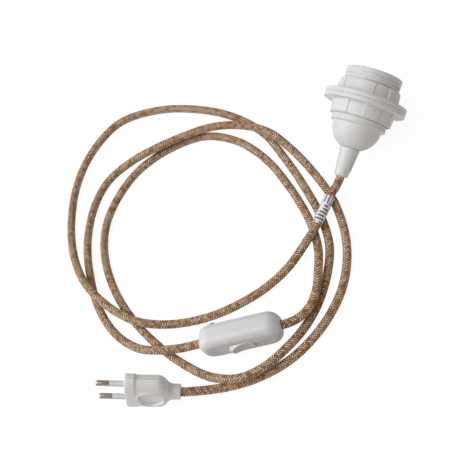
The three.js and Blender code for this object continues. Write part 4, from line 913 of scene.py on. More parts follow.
rib_points = []
for k in range(RIBS):
    z = grip_foot - FIRST_RIB - k * RIB_PITCH
    r = cone((CONE_TOP - z) / CONE_LENGTH)[0]
    rib_points.append((r + RIB_LIFT - RIB_BEND_R, 0, z))
rib_values = {"Bend radius": RIB_BEND_R, "Rib radius": RIB_R, "Slant": RIB_SLANT}
ribs = grown("finger_ribs", rib_tree, rib_points, rib_values)
ribs.data.transform(Matrix.Rotation(RIB_SIDE, 4, "Z"))
combine(grip, [ribs], "UNION")
smooth(grip.data)
settle(grip, HOLDER, "root", "white_plastic", "cord_grip")

# %% [markdown]
# The lamp shell is thin brass strip, rolled with the round thread of a lamp cap. Both faces follow the same
# wave, so the wall stays 0.4 mm thick. The shell shows only from the mouth's side.

# %% Lamp shell
SHELL_MEAN_R, SHELL_WALL = 12.75, 0.4
SHELL_WAVE, SHELL_PITCH, SHELL_FADE = 0.53, 3.63, 1.5
SHELL_TOP, SHELL_END, SHELL_STEP = 10.0, 29.15, 0.45


def shell_radius(r, z, angles):
    fade = faded(-z, SHELL_TOP, SHELL_END, SHELL_FADE)
    wave = np.cos(2 * np.pi * (-z / SHELL_PITCH) - angles)
    return r + SHELL_WAVE * (wave * fade + (1 - fade))


inner_face = [(SHELL_MEAN_R, -d) for d in np.arange(SHELL_TOP, SHELL_END + 0.01, SHELL_STEP)]
outer_face = [(SHELL_MEAN_R + SHELL_WALL, z) for _, z in inner_face[::-1]]
lamp_shell = turned("rolled_lamp_shell", inner_face + outer_face, brass_strip, radius_at=shell_radius)
settle(lamp_shell, HOLDER, "root", "brass", "lamp_thread_shell")

# %% [markdown]
# ## Switch
# The switch is a soft pillow of a box. It is drawn as a stack of rounded rectangles that shrink towards both
# faces along a quarter circle. The outside and the inside are such stacks, joined at the seam, and that
# gives the cover and the base as thin shells. Window, cord holes and screw holes are then cut out.

# %% Switch housing shells
SWITCH_W, SWITCH_T = 23.4, 17.4
SWITCH_WALL = 1.8
SWITCH_CORNER, SWITCH_BEVEL = 9.5, 6.0
SEAM_Z, SEAM = -4.7, 0.2
CORNER_STEPS = 10
BEVEL_STEPS = 10
CORD_BORE = 3.3


def rounded_outline(w, h, corner):
    """Points round a rectangle with round corners."""
    points = []
    for cx, cy, start in ((1, 1, 0), (-1, 1, 90), (-1, -1, 180), (1, -1, 270)):
        points += arc((cx * (w / 2 - corner), cy * (h / 2 - corner)), corner, start, start + 90, CORNER_STEPS)
    return points


def pillow_ring(size, corner, bevel, z):
    """One level of the pillow: its outline shrinks where the face curves over."""
    w, h, t = size
    over = max(abs(z) - (t / 2 - bevel), 0)
    inset = bevel - math.sqrt(max(bevel ** 2 - over ** 2, 0))
    return [(x, y, z) for x, y in rounded_outline(w - 2 * inset, h - 2 * inset, max(corner - inset, 0.4))]


def pillow_levels(size, bevel, start, sign):
    """Heights from the seam to the face, closer together where the side curves over."""
    half = size[2] / 2
    curve = [half - bevel + bevel * math.sin(math.pi / 2 * k / BEVEL_STEPS) for k in range(BEVEL_STEPS + 1)]
    return [start, *[sign * z for z in curve if sign * start < z - 0.05]]


def housing_half(name, sign):
    start = SEAM_Z + sign * SEAM / 2
    sides = []
    for inset in (SWITCH_WALL, 0):
        size = tuple(v - 2 * inset for v in (SWITCH_L, SWITCH_W, SWITCH_T))
        bevel = SWITCH_BEVEL - inset
        levels = pillow_levels(size, bevel, start, sign)
        sides.append([pillow_ring(size, SWITCH_CORNER - inset, bevel, z) for z in levels])
    inner, outer = sides
    return piece_of_rings(name, [*inner[::-1], *outer], switch_moulded)


# %% Switch cover
ROCKER_R, ROCKER_W, ROCKER_SIDE = 10.4, 10.4, 5.05
ROCKER_ROUNDNESS = 2.6
PIVOT_Z, PIVOT_R = 4.0, 1.2
CHEEK_T, CHEEK_HALF, CHEEK_DROP = 1.4, 3.2, 2.6
BOSS_R, BOSS_TOP, PILOT_TOP = 2.4, 6.2, 3.5
cheek_y = ROCKER_W / 2 + GAP
HOUSING_SCREWS = ((-17, 7.4), (17, -7.4))
SCREW_R, TAPPED_R, HEAD_HOLE_R = 1.25, 0.95, 2.5


def barrel_radius(y):
    """The rocker is a barrel about its pivot, so it turns in an oval window with the same gap all round."""
    return ROCKER_R * (1 - abs(y / (ROCKER_W / 2)) ** ROCKER_ROUNDNESS) ** (1 / ROCKER_ROUNDNESS)


ROCKER_STEPS = 14
ROCKER_STATIONS = [
    ROCKER_SIDE * math.sin(math.pi / 2 * k / ROCKER_STEPS) for k in range(-ROCKER_STEPS, ROCKER_STEPS + 1)
]

cover = housing_half("switch_cover_shell", 1)
inside = []
for side in (1, -1):
    y = sorted((side * cheek_y, side * (cheek_y + CHEEK_T)))
    low, high = (-CHEEK_HALF, y[0], PIVOT_Z - CHEEK_DROP), (CHEEK_HALF, y[1], SWITCH_T / 2 - 1.5)
    inside.append(box_mm("cheek", low, high))
inside += [rod_mm("boss", "z", BOSS_R, SEAM_Z + SEAM / 2, BOSS_TOP, p, 24) for p in HOUSING_SCREWS]
combine(cover, inside, "UNION")
window = turned("window", [(barrel_radius(y) + GAP, y * cheek_y / ROCKER_SIDE) for y in ROCKER_STATIONS],
                switch_moulded, closed=False)
window.data.transform(Matrix.Translation((0, 0, PIVOT_Z)) @ AXIS_TURNS["y"])
combine(window, [box_mm("upper", (-12, -7, PIVOT_Z - 1), (12, 7, 16))], "INTERSECT")
cuts = [window, rod_mm("pivot", "y", PIVOT_R + GAP / 2, -cheek_y - 2.4, cheek_y + 2.4, (0, PIVOT_Z), 24)]
for side in (1, -1):
    x = sorted((side * (SWITCH_L / 2 - 4.5), side * (SWITCH_L / 2 + 1)))
    cuts.append(rod_mm("cord_hole", "x", CORD_BORE, x[0], x[1], (0, 0), 40))
    cuts.append(box_mm("slot", (x[0], -CORD_BORE, SEAM_Z - 1), (x[1], CORD_BORE, 0)))
cuts += [rod_mm("pilot", "z", SCREW_R + GAP / 2, SEAM_Z - 1, PILOT_TOP, p, 20) for p in HOUSING_SCREWS]
combine(cover, cuts, "DIFFERENCE")
round_edges(cover, 0.22)
settle(cover, SWITCH, "root", "white_plastic", "switch_cover")

# %% Switch base
CLAMP_X, CLAMP_Y = 22.3, 5.9
POST_R, CLAMP_POST_R, CLAMP_POST_TOP = 2.6, 1.7, -3.2
TONGUE_HALF, HEAD_HOLE_DEPTH = 0.6, 1.9
CLAMP_PLACES = [(end * CLAMP_X, side * CLAMP_Y) for end in (1, -1) for side in (1, -1)]
base = housing_half("switch_base_shell", -1)
floor_z = -SWITCH_T / 2 + SWITCH_WALL
base_edge = SEAM_Z - SEAM / 2
posts = [rod_mm("post", "z", POST_R, floor_z - 0.5, base_edge, p, 24) for p in HOUSING_SCREWS]
posts += [rod_mm("clamp_post", "z", CLAMP_POST_R, floor_z - 0.5, CLAMP_POST_TOP, p, 20) for p in CLAMP_PLACES]
for side in (1, -1):
    x = side * (SWITCH_L / 2 - SWITCH_WALL / 2)
    low = (x - TONGUE_HALF, -CORD_BORE + GAP, base_edge - 0.5)
    tongue = box_mm("tongue", low, (x + TONGUE_HALF, CORD_BORE - GAP, 0))
    posts.append(combine(tongue, [rod_mm("cord", "x", CORD_BORE, -30, 30, (0, 0), 40)], "DIFFERENCE"))
combine(base, posts, "UNION")
cuts = []
for p in HOUSING_SCREWS:
    cuts.append(rod_mm("hole", "z", SCREW_R + GAP, -SWITCH_T / 2 - 1, base_edge + 1, p, 24))
    cuts.append(rod_mm("sink", "z", HEAD_HOLE_R, -SWITCH_T / 2 - 1, -SWITCH_T / 2 + HEAD_HOLE_DEPTH, p))
cuts += [rod_mm("tapped", "z", TAPPED_R, floor_z, 0, p, 16) for p in CLAMP_PLACES]
combine(base, cuts, "DIFFERENCE")
round_edges(base, 0.2)
settle(base, SWITCH, "root", "white_plastic", "switch_base")

# %% [markdown]
# The rocker is a barrel with a dished top. It stands pressed at one end, so the other end shows its bright
# round side. At each angle the surface is the nearer of the barrel and the dish, and a soft minimum of the
# two rounds the edge between them.

# %% Rocker
ROCKER_TILT = math.radians(10)
ROCKER_HUMP, ROCKER_DIP = 6.9, 5.6
ROCKER_EDGE = 0.45
ROCKER_ANGLES = 88
LEG_R, LEG_BORE_R, LEG_END, LEG_BORE_TOP, LEG_TOP = 2.6, 1.9, -1.6, 3.0, 4.4
ROCKER_HOLLOW = ((-7, -3.4, -3), (7, 3.4, 2.2))
dish_curve = (ROCKER_HUMP - ROCKER_DIP) / math.sqrt(ROCKER_R ** 2 - ROCKER_HUMP ** 2) ** 2
low_angle = math.asin(-1 / ROCKER_R)


def rocker_radius(angle, y):
    """Distance of the rocker's surface from its pivot."""
    barrel = barrel_radius(y)
    sine, bend = math.sin(angle), dish_curve * math.cos(angle) ** 2
    reach = sine * sine - 4 * bend * ROCKER_DIP
    if sine <= 0 or reach <= 0:
        return barrel
    dish = 2 * ROCKER_DIP / (sine + math.sqrt(reach))
    return (barrel + dish - math.sqrt((barrel - dish) ** 2 + ROCKER_EDGE ** 2)) / 2


def rocker_ring(y):
    """The rocker's outline at that place along its pivot."""
    angles = [low_angle + (math.pi - 2 * low_angle) * k / (ROCKER_ANGLES - 1) for k in range(ROCKER_ANGLES)]
    radii = [rocker_radius(a, y) for a in angles]
    return [(r * math.cos(a), y, r * math.sin(a)) for r, a in zip(radii, angles)]


rocker = piece_of_rings("dished_rocker", [rocker_ring(y) for y in ROCKER_STATIONS], switch_moulded)
stub_reach = cheek_y + CHEEK_T
combine(rocker, [box_mm("hollow", *ROCKER_HOLLOW)], "DIFFERENCE")
combine(rocker, [
    rod_mm("leg", "z", LEG_R, LEG_END, LEG_TOP),
    rod_mm("stubs", "y", PIVOT_R, -stub_reach, stub_reach, (0, 0), 24),
], "UNION")
combine(rocker, [rod_mm("bore", "z", LEG_BORE_R, LEG_END - 1, LEG_BORE_TOP, (0, 0), 24)], "DIFFERENCE")
smooth(rocker.data, 40)
rocker_place = Matrix.Translation((0, 0, PIVOT_Z)) @ Matrix.Rotation(ROCKER_TILT, 4, "Y")
settle(rocker, SWITCH @ rocker_place, "rocker", "white_plastic", "switch_rocker")

# %% [markdown]
# ## Plug
# The plug's body changes its section along its length: wide and flat at the pins, round at the cord. Each
# station is a superellipse, a curve between a rectangle and an ellipse, with its own half width, half
# thickness and squareness. The stations form one closed skin, which is then cut in two at the seam.

# %% Plug body as stations along the pins' direction
PLUG_HALF_W, PLUG_HALF_T = 17.5, 6.85
PLUG_HEAD, PLUG_STEP, PLUG_FULL = 7.0, 1.1, 21.0
NECK_R, NECK_START = 5.2, 31.5
PLUG_WALL = 2.0
SECTION_POINTS = 96


def bezier(p0, p1, p2, p3, steps):
    """Points of a cubic curve, without its first one."""
    points = []
    for k in range(1, steps + 1):
        s = k / steps
        weights = ((1 - s) ** 3, 3 * s * (1 - s) ** 2, 3 * s * s * (1 - s), s ** 3)
        points.append(tuple(sum(w * p[i] for w, p in zip(weights, (p0, p1, p2, p3))) for i in (0, 1)))
    return points


body_w = PLUG_HALF_W - PLUG_STEP
neck_start = (NECK_START, NECK_R)
neck_line = [(PLUG_BODY - 0.6, NECK_R), (PLUG_BODY - 0.15, NECK_R - 0.2), (PLUG_BODY, NECK_R - 0.6)]
width_line = [
    (0, PLUG_HALF_W - 0.9), (0.12, PLUG_HALF_W - 0.45), (0.4, PLUG_HALF_W - 0.15), (0.9, PLUG_HALF_W),
    (PLUG_HEAD - 0.6, PLUG_HALF_W), (PLUG_HEAD - 0.25, PLUG_HALF_W - 0.15), (PLUG_HEAD, PLUG_HALF_W - 0.6),
    (PLUG_HEAD + 0.2, body_w + 0.15), (PLUG_HEAD + 0.6, body_w), (PLUG_FULL, body_w),
    *bezier((PLUG_FULL, body_w), (PLUG_FULL + 6, body_w), (PLUG_FULL + 5.5, NECK_R), neck_start, 16),
    *neck_line,
]
face_z = PLUG_HALF_T - 0.1
thick_line = [
    (0, PLUG_HALF_T - 0.8), (0.12, PLUG_HALF_T - 0.4), (0.4, PLUG_HALF_T - 0.12), (0.9, PLUG_HALF_T),
    (PLUG_HEAD - 0.3, PLUG_HALF_T), (PLUG_HEAD + 0.2, PLUG_HALF_T - 0.16), (PLUG_FULL + 2, face_z),
    *bezier((PLUG_FULL + 2, face_z), (PLUG_FULL + 6, face_z), (PLUG_FULL + 6, NECK_R), neck_start, 16),
    *neck_line,
]
stations = sorted({round(d, 3) for d, _ in width_line} | {0.2, 3, 5, 9, 12, 15, 18, 33, 34.5})
print("stations of the plug:", len(stations))


def station(d, inset):
    """The section of the plug at that depth behind its face."""
    a = np.interp(d, *zip(*width_line)) - inset
    c = np.interp(d, *zip(*thick_line)) - inset
    # The two powers run from a rounded rectangle at the pins to 2, an ellipse, at the neck.
    blend = eased(np.clip((d - PLUG_FULL) / (NECK_START - PLUG_FULL), 0, 1))
    p, q = 5 - 3 * blend, 1.32 + 0.68 * blend
    angles = (np.arange(SECTION_POINTS) + 0.5) * 2 * np.pi / SECTION_POINTS
    cosine, sine = np.cos(angles), np.sin(angles)
    y = a * np.sign(cosine) * np.abs(cosine) ** (2 / p)
    z = c * np.sign(sine) * np.abs(sine) ** (2 / q)
    return [(-d, float(v), float(w)) for v, w in zip(y, z)]


def plug_form(name, depths, inset):
    return piece_of_rings(name, [station(d, inset) for d in depths], plug_moulded)


# %% Plug shells
PIN_Y, PIN_R = 9.3, 2.0
PIN_ROOT, BARREL_L = 9.5, 6.0
RECESS_X, RECESS_R, RECESS_DEPTH = -16.5, 8.4, 1.3
PLUG_SCREW_X = -11.0
PLUG_CLAMP_PLACES = [(-24.5, side * 5.7) for side in (1, -1)]
SCREW_SEAT = -PLUG_HALF_T + RECESS_DEPTH + 1.5
FRONT_BOSS_R, BACK_BOSS_R, PLUG_POST_R = 2.6, 3.0, 1.6
BARREL_HALF, SEAT_HALF = 2.8, 3.1


def over_recess(name, profile, columns, closed, sign):
    """A turned tool over the recess, from [beyond its radius, above the face], turned over for the back."""
    rings = [(RECESS_R + out, face_z + up) for out, up in profile]
    tool = turned(name, rings, plug_moulded, columns, closed)
    turn = Matrix.Rotation(0 if sign > 0 else math.pi, 4, "X")
    tool.data.transform(Matrix.Translation((RECESS_X, 0, 0)) @ turn)
    return tool


# A shallow dish with a crisp rim, for thumb or finger, and a low raised border that runs round it.
RECESS_DISH = [
    (-1.3, -RECESS_DEPTH), (-0.7, -RECESS_DEPTH + 0.15), (-0.35, -0.5), (-0.1, 0), (0, 0.3), (0, 4),
]
RECESS_RIM = [(-1, -1.2), (-1, 0.12), (0.1, 0.3), (0.5, 0.34), (1.1, 0.2), (1.8, -0.06), (1.8, -1.2)]


def plug_shell(name, sign, node):
    shell = plug_form(name, stations, 0)
    combine(shell, [over_recess("rim", RECESS_RIM, 96, True, sign)], "UNION")
    hollow_depths = [PLUG_HEAD, *[d for d in stations if PLUG_HEAD < d < 30], 30]
    combine(shell, [plug_form("hollow", hollow_depths, PLUG_WALL)], "DIFFERENCE")
    face = PLUG_HALF_T - PLUG_WALL + 0.3
    if sign > 0:
        posts = [rod_mm("boss", "z", FRONT_BOSS_R, SEAM / 2, face, (PLUG_SCREW_X, 0), 24)]
    else:
        posts = [rod_mm("boss", "z", BACK_BOSS_R, -face, -SEAM / 2, (PLUG_SCREW_X, 0), 24)]
        posts += [rod_mm("post", "z", PLUG_POST_R, -face, -GAP, p, 20) for p in PLUG_CLAMP_PLACES]
    combine(shell, posts, "UNION")
    tools = [
        over_recess("recess", RECESS_DISH, 72, False, sign),
        rod_mm("cord_way", "x", CORD_BORE, -PLUG_BODY - 1, -PLUG_FULL - 8, (0, 0), 40),
    ]
    for y in (PIN_Y, -PIN_Y):
        tools.append(rod_mm("pin_way", "x", PIN_R + GAP, -PIN_ROOT - GAP, 1, (y, 0), 40))
        seat_end = -PIN_ROOT - BARREL_L - GAP
        low, high = (seat_end, y - SEAT_HALF, -SEAT_HALF), (-PIN_ROOT + GAP, y + SEAT_HALF, SEAT_HALF)
        tools.append(box_mm("seat", low, high))
    if sign > 0:
        tools.append(rod_mm("pilot", "z", SCREW_R + GAP / 2, -1, PLUG_HALF_T - 3, (PLUG_SCREW_X, 0), 20))
    else:
        tools.append(rod_mm("screw_way", "z", SCREW_R + GAP, -9, 0, (PLUG_SCREW_X, 0), 24))
        tools.append(rod_mm("head_way", "z", HEAD_HOLE_R, -9, SCREW_SEAT, (PLUG_SCREW_X, 0)))
        bottom = -PLUG_HALF_T + PLUG_WALL + 0.6
        tools += [rod_mm("tapped", "z", TAPPED_R, bottom, 0, p, 16) for p in PLUG_CLAMP_PLACES]
    combine(shell, tools, "DIFFERENCE")
    z = sorted((sign * SEAM / 2, sign * 12))
    combine(shell, [box_mm("side", (-PLUG_BODY - 2, -20, z[0]), (2, 20, z[1]))], "INTERSECT")
    round_edges(shell, 0.14, 42)
    settle(shell, PLUG, "root", "white_plastic", node)


plug_shell("plug_front_shell", 1, "plug_shell_front")
plug_shell("plug_back_shell", -1, "plug_shell_back")

# %% [markdown]
# Each pin is a turned rod with a rounded tip. Half of its length is sleeved, so that a finger can't touch
# live metal while the plug is half in.

# %% Pins and their sleeves
PIN_L, SLEEVE_L = 19.0, 10.0
SLEEVE_WALL = 0.35
TIP_R, TIP_L = 1.1, 1.5
CORE_HOLE_R, PIN_SCREW_R = 1.25, 1.15
core_r = PIN_R - SLEEVE_WALL - GAP / 2
bare_from = SLEEVE_L + GAP
barrel_end = -PIN_ROOT - BARREL_L
quarter = [math.pi / 2 * k / 7 for k in range(1, 8)]
pin_profile = [
    (core_r, -PIN_ROOT), (core_r, bare_from), (PIN_R - 0.15, bare_from), (PIN_R, bare_from + 0.15),
    (PIN_R, PIN_L - TIP_L),
    *[(PIN_R - TIP_R + TIP_R * math.cos(a), PIN_L - TIP_L + TIP_L * math.sin(a)) for a in quarter],
]
sleeve_bore = PIN_R - SLEEVE_WALL
sleeve_profile = [
    (sleeve_bore, -3), (PIN_R, -3), (PIN_R, SLEEVE_L - 0.2), (PIN_R - 0.06, SLEEVE_L - 0.05),
    (PIN_R - 0.15, SLEEVE_L), (sleeve_bore, SLEEVE_L),
]
for name, y in (("live", PIN_Y), ("neutral", -PIN_Y)):
    to_pin = Matrix.Translation((0, y, 0)) @ AXIS_TURNS["x"]
    pin = turned(f"pin_{name}", pin_profile, nickel_turned, 48, closed=False)
    pin.data.transform(to_pin)
    low, high = (barrel_end, y - BARREL_HALF, -BARREL_HALF), (-PIN_ROOT + 0.1, y + BARREL_HALF, BARREL_HALF)
    combine(pin, [box_mm("barrel", low, high)], "UNION")
    combine(pin, [
        rod_mm("core_hole", "x", CORE_HOLE_R, barrel_end - 1, -PIN_ROOT - 2, (y, 0), 20),
        rod_mm("screw_hole", "z", PIN_SCREW_R, 0, 4, (-PIN_ROOT - 3.6, y), 20),
    ], "DIFFERENCE")
    round_edges(pin, 0.12, 60)
    settle(pin, PLUG, "root", "nickel", f"plug_pin_{name}")
    sleeve = turned(f"sleeve_{name}", sleeve_profile, pin_insulation, 48)
    settle(sleeve, PLUG @ to_pin, "root", "grey_plastic", f"pin_sleeve_{name}")

# %% [markdown]
# ## Screws
# All screws here are cheese heads with a slot, in several sizes. One tree makes them: a cylinder minus a bar
# is the head, a thinner cylinder is the shank, and a copy goes on each point. The sizes are named inputs.

# %% Screw tree
SCREW_SIZES = ("Head radius", "Head height", "Shank radius", "Shank length")
SLOT_LENGTH, SLOT_WIDTH = 2.4, 0.44
SHANK_OVERLAP = 0.1
screw_tree, given = node_tree("cheese_head_screw", dict(zip(SCREW_SIZES, (2.0, 1.2, 1.0, 4.0))))
head_r, head_h, shank_r, shank_l = (given[name] for name in SCREW_SIZES)


def raised(geometry, height):
    """The geometry, moved up by a height."""
    shift = add(screw_tree, "ShaderNodeCombineXYZ", {"Z": height}).outputs["Vector"]
    moved = add(screw_tree, "GeometryNodeTransform", {"Geometry": geometry, "Translation": shift})
    return moved.outputs["Geometry"]


head = add(screw_tree, "GeometryNodeMeshCylinder", {"Vertices": 32, "Radius": head_r, "Depth": head_h})
slot_size = add(screw_tree, "ShaderNodeCombineXYZ", {
    "X": number(screw_tree, "MULTIPLY", head_r, SLOT_LENGTH),
    "Y": number(screw_tree, "MULTIPLY", head_r, SLOT_WIDTH),
    "Z": head_h,
})
slot_bar = add(screw_tree, "GeometryNodeMeshCube", {"Size": slot_size.outputs["Vector"]})
slotted = add(screw_tree, "GeometryNodeMeshBoolean", {
    "Mesh 1": raised(head.outputs["Mesh"], number(screw_tree, "MULTIPLY", head_h, 0.5)),
    "Mesh 2": raised(slot_bar.outputs["Mesh"], head_h),
}, operation="DIFFERENCE")
shank = add(screw_tree, "GeometryNodeMeshCylinder", {
    "Vertices": 20, "Radius": shank_r, "Depth": number(screw_tree, "ADD", shank_l, SHANK_OVERLAP)})
half_shank = number(screw_tree, "MULTIPLY", shank_l, 0.5)
shank_z = number(screw_tree, "SUBTRACT", SHANK_OVERLAP / 2, half_shank)
whole_screw = add(screw_tree, "GeometryNodeMeshBoolean", operation="UNION")
for part in (slotted.outputs["Mesh"], raised(shank.outputs["Mesh"], shank_z)):
    screw_tree.links.new(part, whole_screw.inputs["Mesh 2"])
end_tree(screw_tree, given, whole_screw.outputs["Mesh"], zinc_steel)
print("nodes in the screw tree:", len(screw_tree.nodes))

# %% Place the screws
UPRIGHT, FLIP = Matrix.Identity(4), Matrix.Rotation(math.pi, 4, "X")
RAIL_Z = -SWITCH_T / 2 + SWITCH_WALL + GAP
TERMINAL_END = 29.45 + 3 + GAP + 5
STRAP_TOP, PLUG_STRAP_TOP = 1.2 + GAP, 1.2 * 0.8 + GAP
SCREW_SETS = [
    ("clamp_screws", SWITCH, UPRIGHT, (1.5, 1.0, 0.8, 6.0), [(*p, STRAP_TOP) for p in CLAMP_PLACES[::-1]],
     ["clamp_screw_in_a", "clamp_screw_in_b", "clamp_screw_out_a", "clamp_screw_out_b"]),
    ("terminal_screws", SWITCH, UPRIGHT, (1.5, 1.1, 1.0, 1.4),
     [(x, 0.3, RAIL_Z + 4.4 + GAP) for x in (-13.5, 13.5)],
     ["switch_terminal_screw_in", "switch_terminal_screw_out"]),
    ("housing_screws", SWITCH, FLIP, (2.2, 1.2, SCREW_R, 8.0),
     [(x, -y, SWITCH_T / 2 - 1.5) for x, y in HOUSING_SCREWS],
     ["switch_housing_screw_1", "switch_housing_screw_2"]),
    ("plug_screw", PLUG, FLIP, (2.2, 1.1, SCREW_R, 6.0), [(PLUG_SCREW_X, 0, -(SCREW_SEAT - GAP))],
     ["plug_housing_screw"]),
    ("plug_clamp_screws", PLUG, UPRIGHT, (1.3, 0.8, 0.8, 4.6),
     [(*p, PLUG_STRAP_TOP) for p in PLUG_CLAMP_PLACES[::-1]],
     ["plug_clamp_screw_a", "plug_clamp_screw_b"]),
    ("holder_screws", HOLDER, FLIP, (1.5, 1.2, 1.1, 2.4), [(x, 0, TERMINAL_END + GAP) for x in (9.7, -9.7)],
     ["holder_screw_live", "holder_screw_neutral"]),
]
for name, body_frame, turn, sizes, points, nodes in SCREW_SETS:
    screws = grown(name, screw_tree, points, dict(zip(SCREW_SIZES, sizes)))
    settle(screws, body_frame @ turn, "root", "steel", *nodes)

# %% [markdown]
# ## Label
# A strip of white foil is wrapped round the cord behind the lampholder. It has a few plain dark bars and
# rows of short dashes, drawn from its UV map.

# %% Label
LABEL_START, LABEL_END, LABEL_INSET = 1, 2, 1.2
LABEL_R, LABEL_WALL = 3.3, 0.35
LABEL_SIDES, LABEL_ROWS = 48, 40
LINE_PITCH_MM, BLOCK_END_MM = 2.5, 7.0
DASHES_ROUND, BARS_ROUND, INK_STRENGTH = 15.0, 9.0, 0.85
CREASE_MM, CREASE_DEPTH_MM, CRUMPLE_MM = 3.0, 0.15, 0.05


def printed_foil(name):
    material, tree, shader = new_material(name)
    turn, metres = place_on_cord(tree)
    along_mm = number(tree, "MULTIPLY", metres, 1000.0)
    line = number(tree, "DIVIDE", along_mm, LINE_PITCH_MM)
    cell_y = number(tree, "FLOOR", number(tree, "MULTIPLY", turn, DASHES_ROUND))
    chance = chance_of_cell(tree, number(tree, "FLOOR", line), cell_y, "2D")
    in_line = number(tree, "GREATER_THAN", number(tree, "FRACT", line), 0.5)
    dash = number(tree, "MULTIPLY", number(tree, "GREATER_THAN", chance, 0.3), in_line)
    bar = number(tree, "LESS_THAN", number(tree, "FRACT", number(tree, "MULTIPLY", turn, BARS_ROUND)), 0.35)
    ink = mixed(tree, number(tree, "LESS_THAN", along_mm, BLOCK_END_MM), dash, bar)
    feed(tree, shader, {
        "Base Color": between(tree, number(tree, "MULTIPLY", ink, INK_STRENGTH), "#F0F2F5", "#2F343B"),
        "Normal": bump(tree, object_noise(tree, CREASE_MM), 0.4, CREASE_DEPTH_MM),
        "Roughness": 0.4,
    })
    return material


foil = printed_foil("printed_white_foil")
start, end = (np.array(HOLDER_RUN[k], float) for k in (LABEL_START, LABEL_END))
way = (end - start) / np.linalg.norm(end - start)
label_length = np.linalg.norm(end - start) - 2 * LABEL_INSET
side = np.cross(way, (0, 0, 1))
side /= np.linalg.norm(side)
other = np.cross(way, side)
angles = np.arange(LABEL_SIDES) * 2 * np.pi / LABEL_SIDES
rings = []
for radius, order in ((LABEL_R + LABEL_WALL, 1), (LABEL_R, -1)):
    for k in range(LABEL_ROWS + 1)[::order]:
        centre = start + way * (LABEL_INSET + label_length * k / LABEL_ROWS)
        crumple = CRUMPLE_MM * np.sin(3 * angles + 0.8 * k) * math.sin(math.pi * k / LABEL_ROWS)
        rings.append(ring_of(centre, side, other, angles, radius + crumple))
label = piece_of_rings("foil_label", rings, foil, closed=True)

# %% The label's UV map, with whole faces at the seam
layer = label.data.uv_layers.new(name="along_cord")
for polygon in label.data.polygons:
    places = [np.array(label.data.vertices[k].co) - start for k in polygon.vertices]
    turns = [math.atan2(p @ other, p @ side) / (2 * math.pi) % 1 for p in places]
    over_seam = max(turns) - min(turns) > 0.5
    for k, p, turn in zip(polygon.loop_indices, places, turns):
        layer.data[k].uv = (turn + 1 if over_seam and turn < 0.5 else turn, (p @ way) * MM)
settle(label, Matrix.Scale(MM, 4), "root", "label_paper", "cord_label")

# %% [markdown]
# ## Parts inside
# The parts inside the three bodies keep their CAD shape, and get the finish of what they are made of.

# %% Finishes for the carried-over nodes
FINISHES = {
    thermoset: ("terminal_block",),
    brass_strip: ("centre_contact", "holder_terminal_live", "holder_terminal_neutral", "contact_seesaw",
                  "common_terminal", "fixed_contact"),
    zinc_steel: ("rocker_spring", "plug_terminal_screw_live", "plug_terminal_screw_neutral"),
    grey_moulded: ("grip_locknut", "rocker_plunger", "cord_clamp_in", "cord_clamp_out", "plug_cord_clamp"),
    brown_insulation: ("holder_core_live", "switch_core_live_in", "switch_core_live_out", "plug_core_live"),
    blue_insulation: ("holder_core_neutral", "switch_core_neutral", "plug_core_neutral"),
    yarn: ("switch_sheath_in", "switch_sheath_out", "plug_sheath"),
}
finished = set()
for material, names in FINISHES.items():
    for name in names:
        slots = frame["nodes"][name].data.materials
        slots.clear()
        slots.append(material)
        finished.add(name)
left = [name for name, o in frame["nodes"].items() if not o.hide_render and name not in finished]
print("nodes without a finish of their own:", left)

# %% [markdown]
# ## Floor and light
# The photograph is lit by a large soft light from the upper left, on a white ground. The floor shows the
# camera white, by Light Path, and still takes a soft shadow. The world gives the camera white too, while the
# object itself gets only a moderate light, so that its whites don't clip.

# %% Floor
FLOOR_HALF, FLOOR_Z = 3, -0.0002
FLOOR_SHADOW_SHARE = 0.18
PAPER, PAPER_GLOW = (0.86, 0.86, 0.86, 1), 1.12
WHITE = (1.0, 1.0, 1.0, 1)

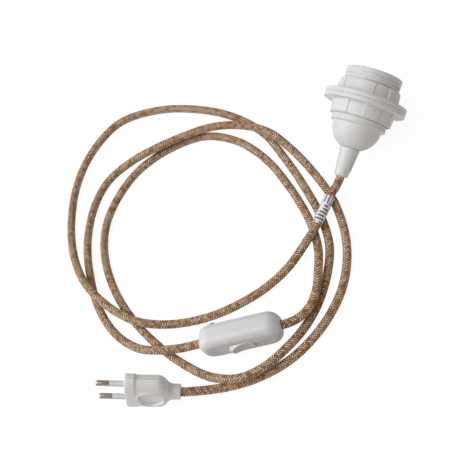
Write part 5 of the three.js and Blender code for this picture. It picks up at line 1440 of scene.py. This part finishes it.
floor_mesh = bpy.data.meshes.new("floor")
corners = [(x * FLOOR_HALF, y * FLOOR_HALF, FLOOR_Z) for x, y in ((-1, -1), (1, -1), (1, 1), (-1, 1))]
floor_mesh.from_pydata(corners, [], [(0, 1, 2, 3)])
floor_material = bpy.data.materials.new("white_paper_ground")
tree = empty_tree(floor_material)
paper_light = add(tree, "ShaderNodeBsdfDiffuse", {"Color": PAPER})
glow = add(tree, "ShaderNodeEmission", {"Color": WHITE, "Strength": PAPER_GLOW})
rays = add(tree, "ShaderNodeLightPath").outputs
seen = number(tree, "MAXIMUM", rays["Is Camera Ray"], rays["Is Glossy Ray"])
ground = add(tree, "ShaderNodeMixShader", {
    "Fac": number(tree, "MULTIPLY", seen, 1 - FLOOR_SHADOW_SHARE),
    1: paper_light.outputs["BSDF"], 2: glow.outputs["Emission"],
})
add(tree, "ShaderNodeOutputMaterial", {"Surface": ground.outputs["Shader"]})
floor_mesh.materials.append(floor_material)
floor = in_scene("floor", floor_mesh)
floor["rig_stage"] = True
print("floor:", 2 * FLOOR_HALF, "m wide")

# %% World
# The room's walls give a warm light, and the camera itself sees plain white behind the object.
AMBIENT, WARM = 0.25, (1.0, 0.88, 0.77, 1)
world = bpy.data.worlds.new("studio")
bpy.context.scene.world = world
tree = empty_tree(world)
camera_ray = add(tree, "ShaderNodeLightPath").outputs["Is Camera Ray"]
sky = add(tree, "ShaderNodeBackground", {
    "Color": between(tree, camera_ray, WARM, WHITE), "Strength": spread(tree, camera_ray, AMBIENT, 1.0),
})
add(tree, "ShaderNodeOutputWorld", {"Surface": sky.outputs["Background"]})
print("world:", world.name, "with a level of", AMBIENT)

# %% Lamps
OBJECT_MIDDLE = Vector((-0.08, -0.1, 0.0))


def softbox(name, toward, distance, size, watts, colour):
    """A square area lamp that faces the middle of the object."""
    light = bpy.data.lights.new(name, "AREA")
    light.shape = "SQUARE"
    light.size = size
    light.energy = watts
    light.color = colour
    lamp = in_scene(name, light)
    lamp.location = OBJECT_MIDDLE + toward.normalized() * distance
    lamp.rotation_mode = "QUATERNION"
    lamp.rotation_quaternion = (-toward).to_track_quat("-Z", "Y")


softbox("window", Vector((-0.8, -0.52, 0.62)), 1.4, 0.8, 9.0, (0.875, 0.94, 1.0))
softbox("ceiling", Vector((-0.25, -0.2, 1.0)), 1.6, 1.3, 13.8, (0.93, 0.965, 1.0))

# %% [markdown]
# ## The two boxes
# The box of the CAD solids and the box of what is drawn now are both printed, in millimetres.


# %% Print both boxes
visual_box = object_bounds()
for label, box in (("cad", cad_box), ("visual", visual_box)):
    print(label, [[round(v * 1000, 1) for v in corner] for corner in box])
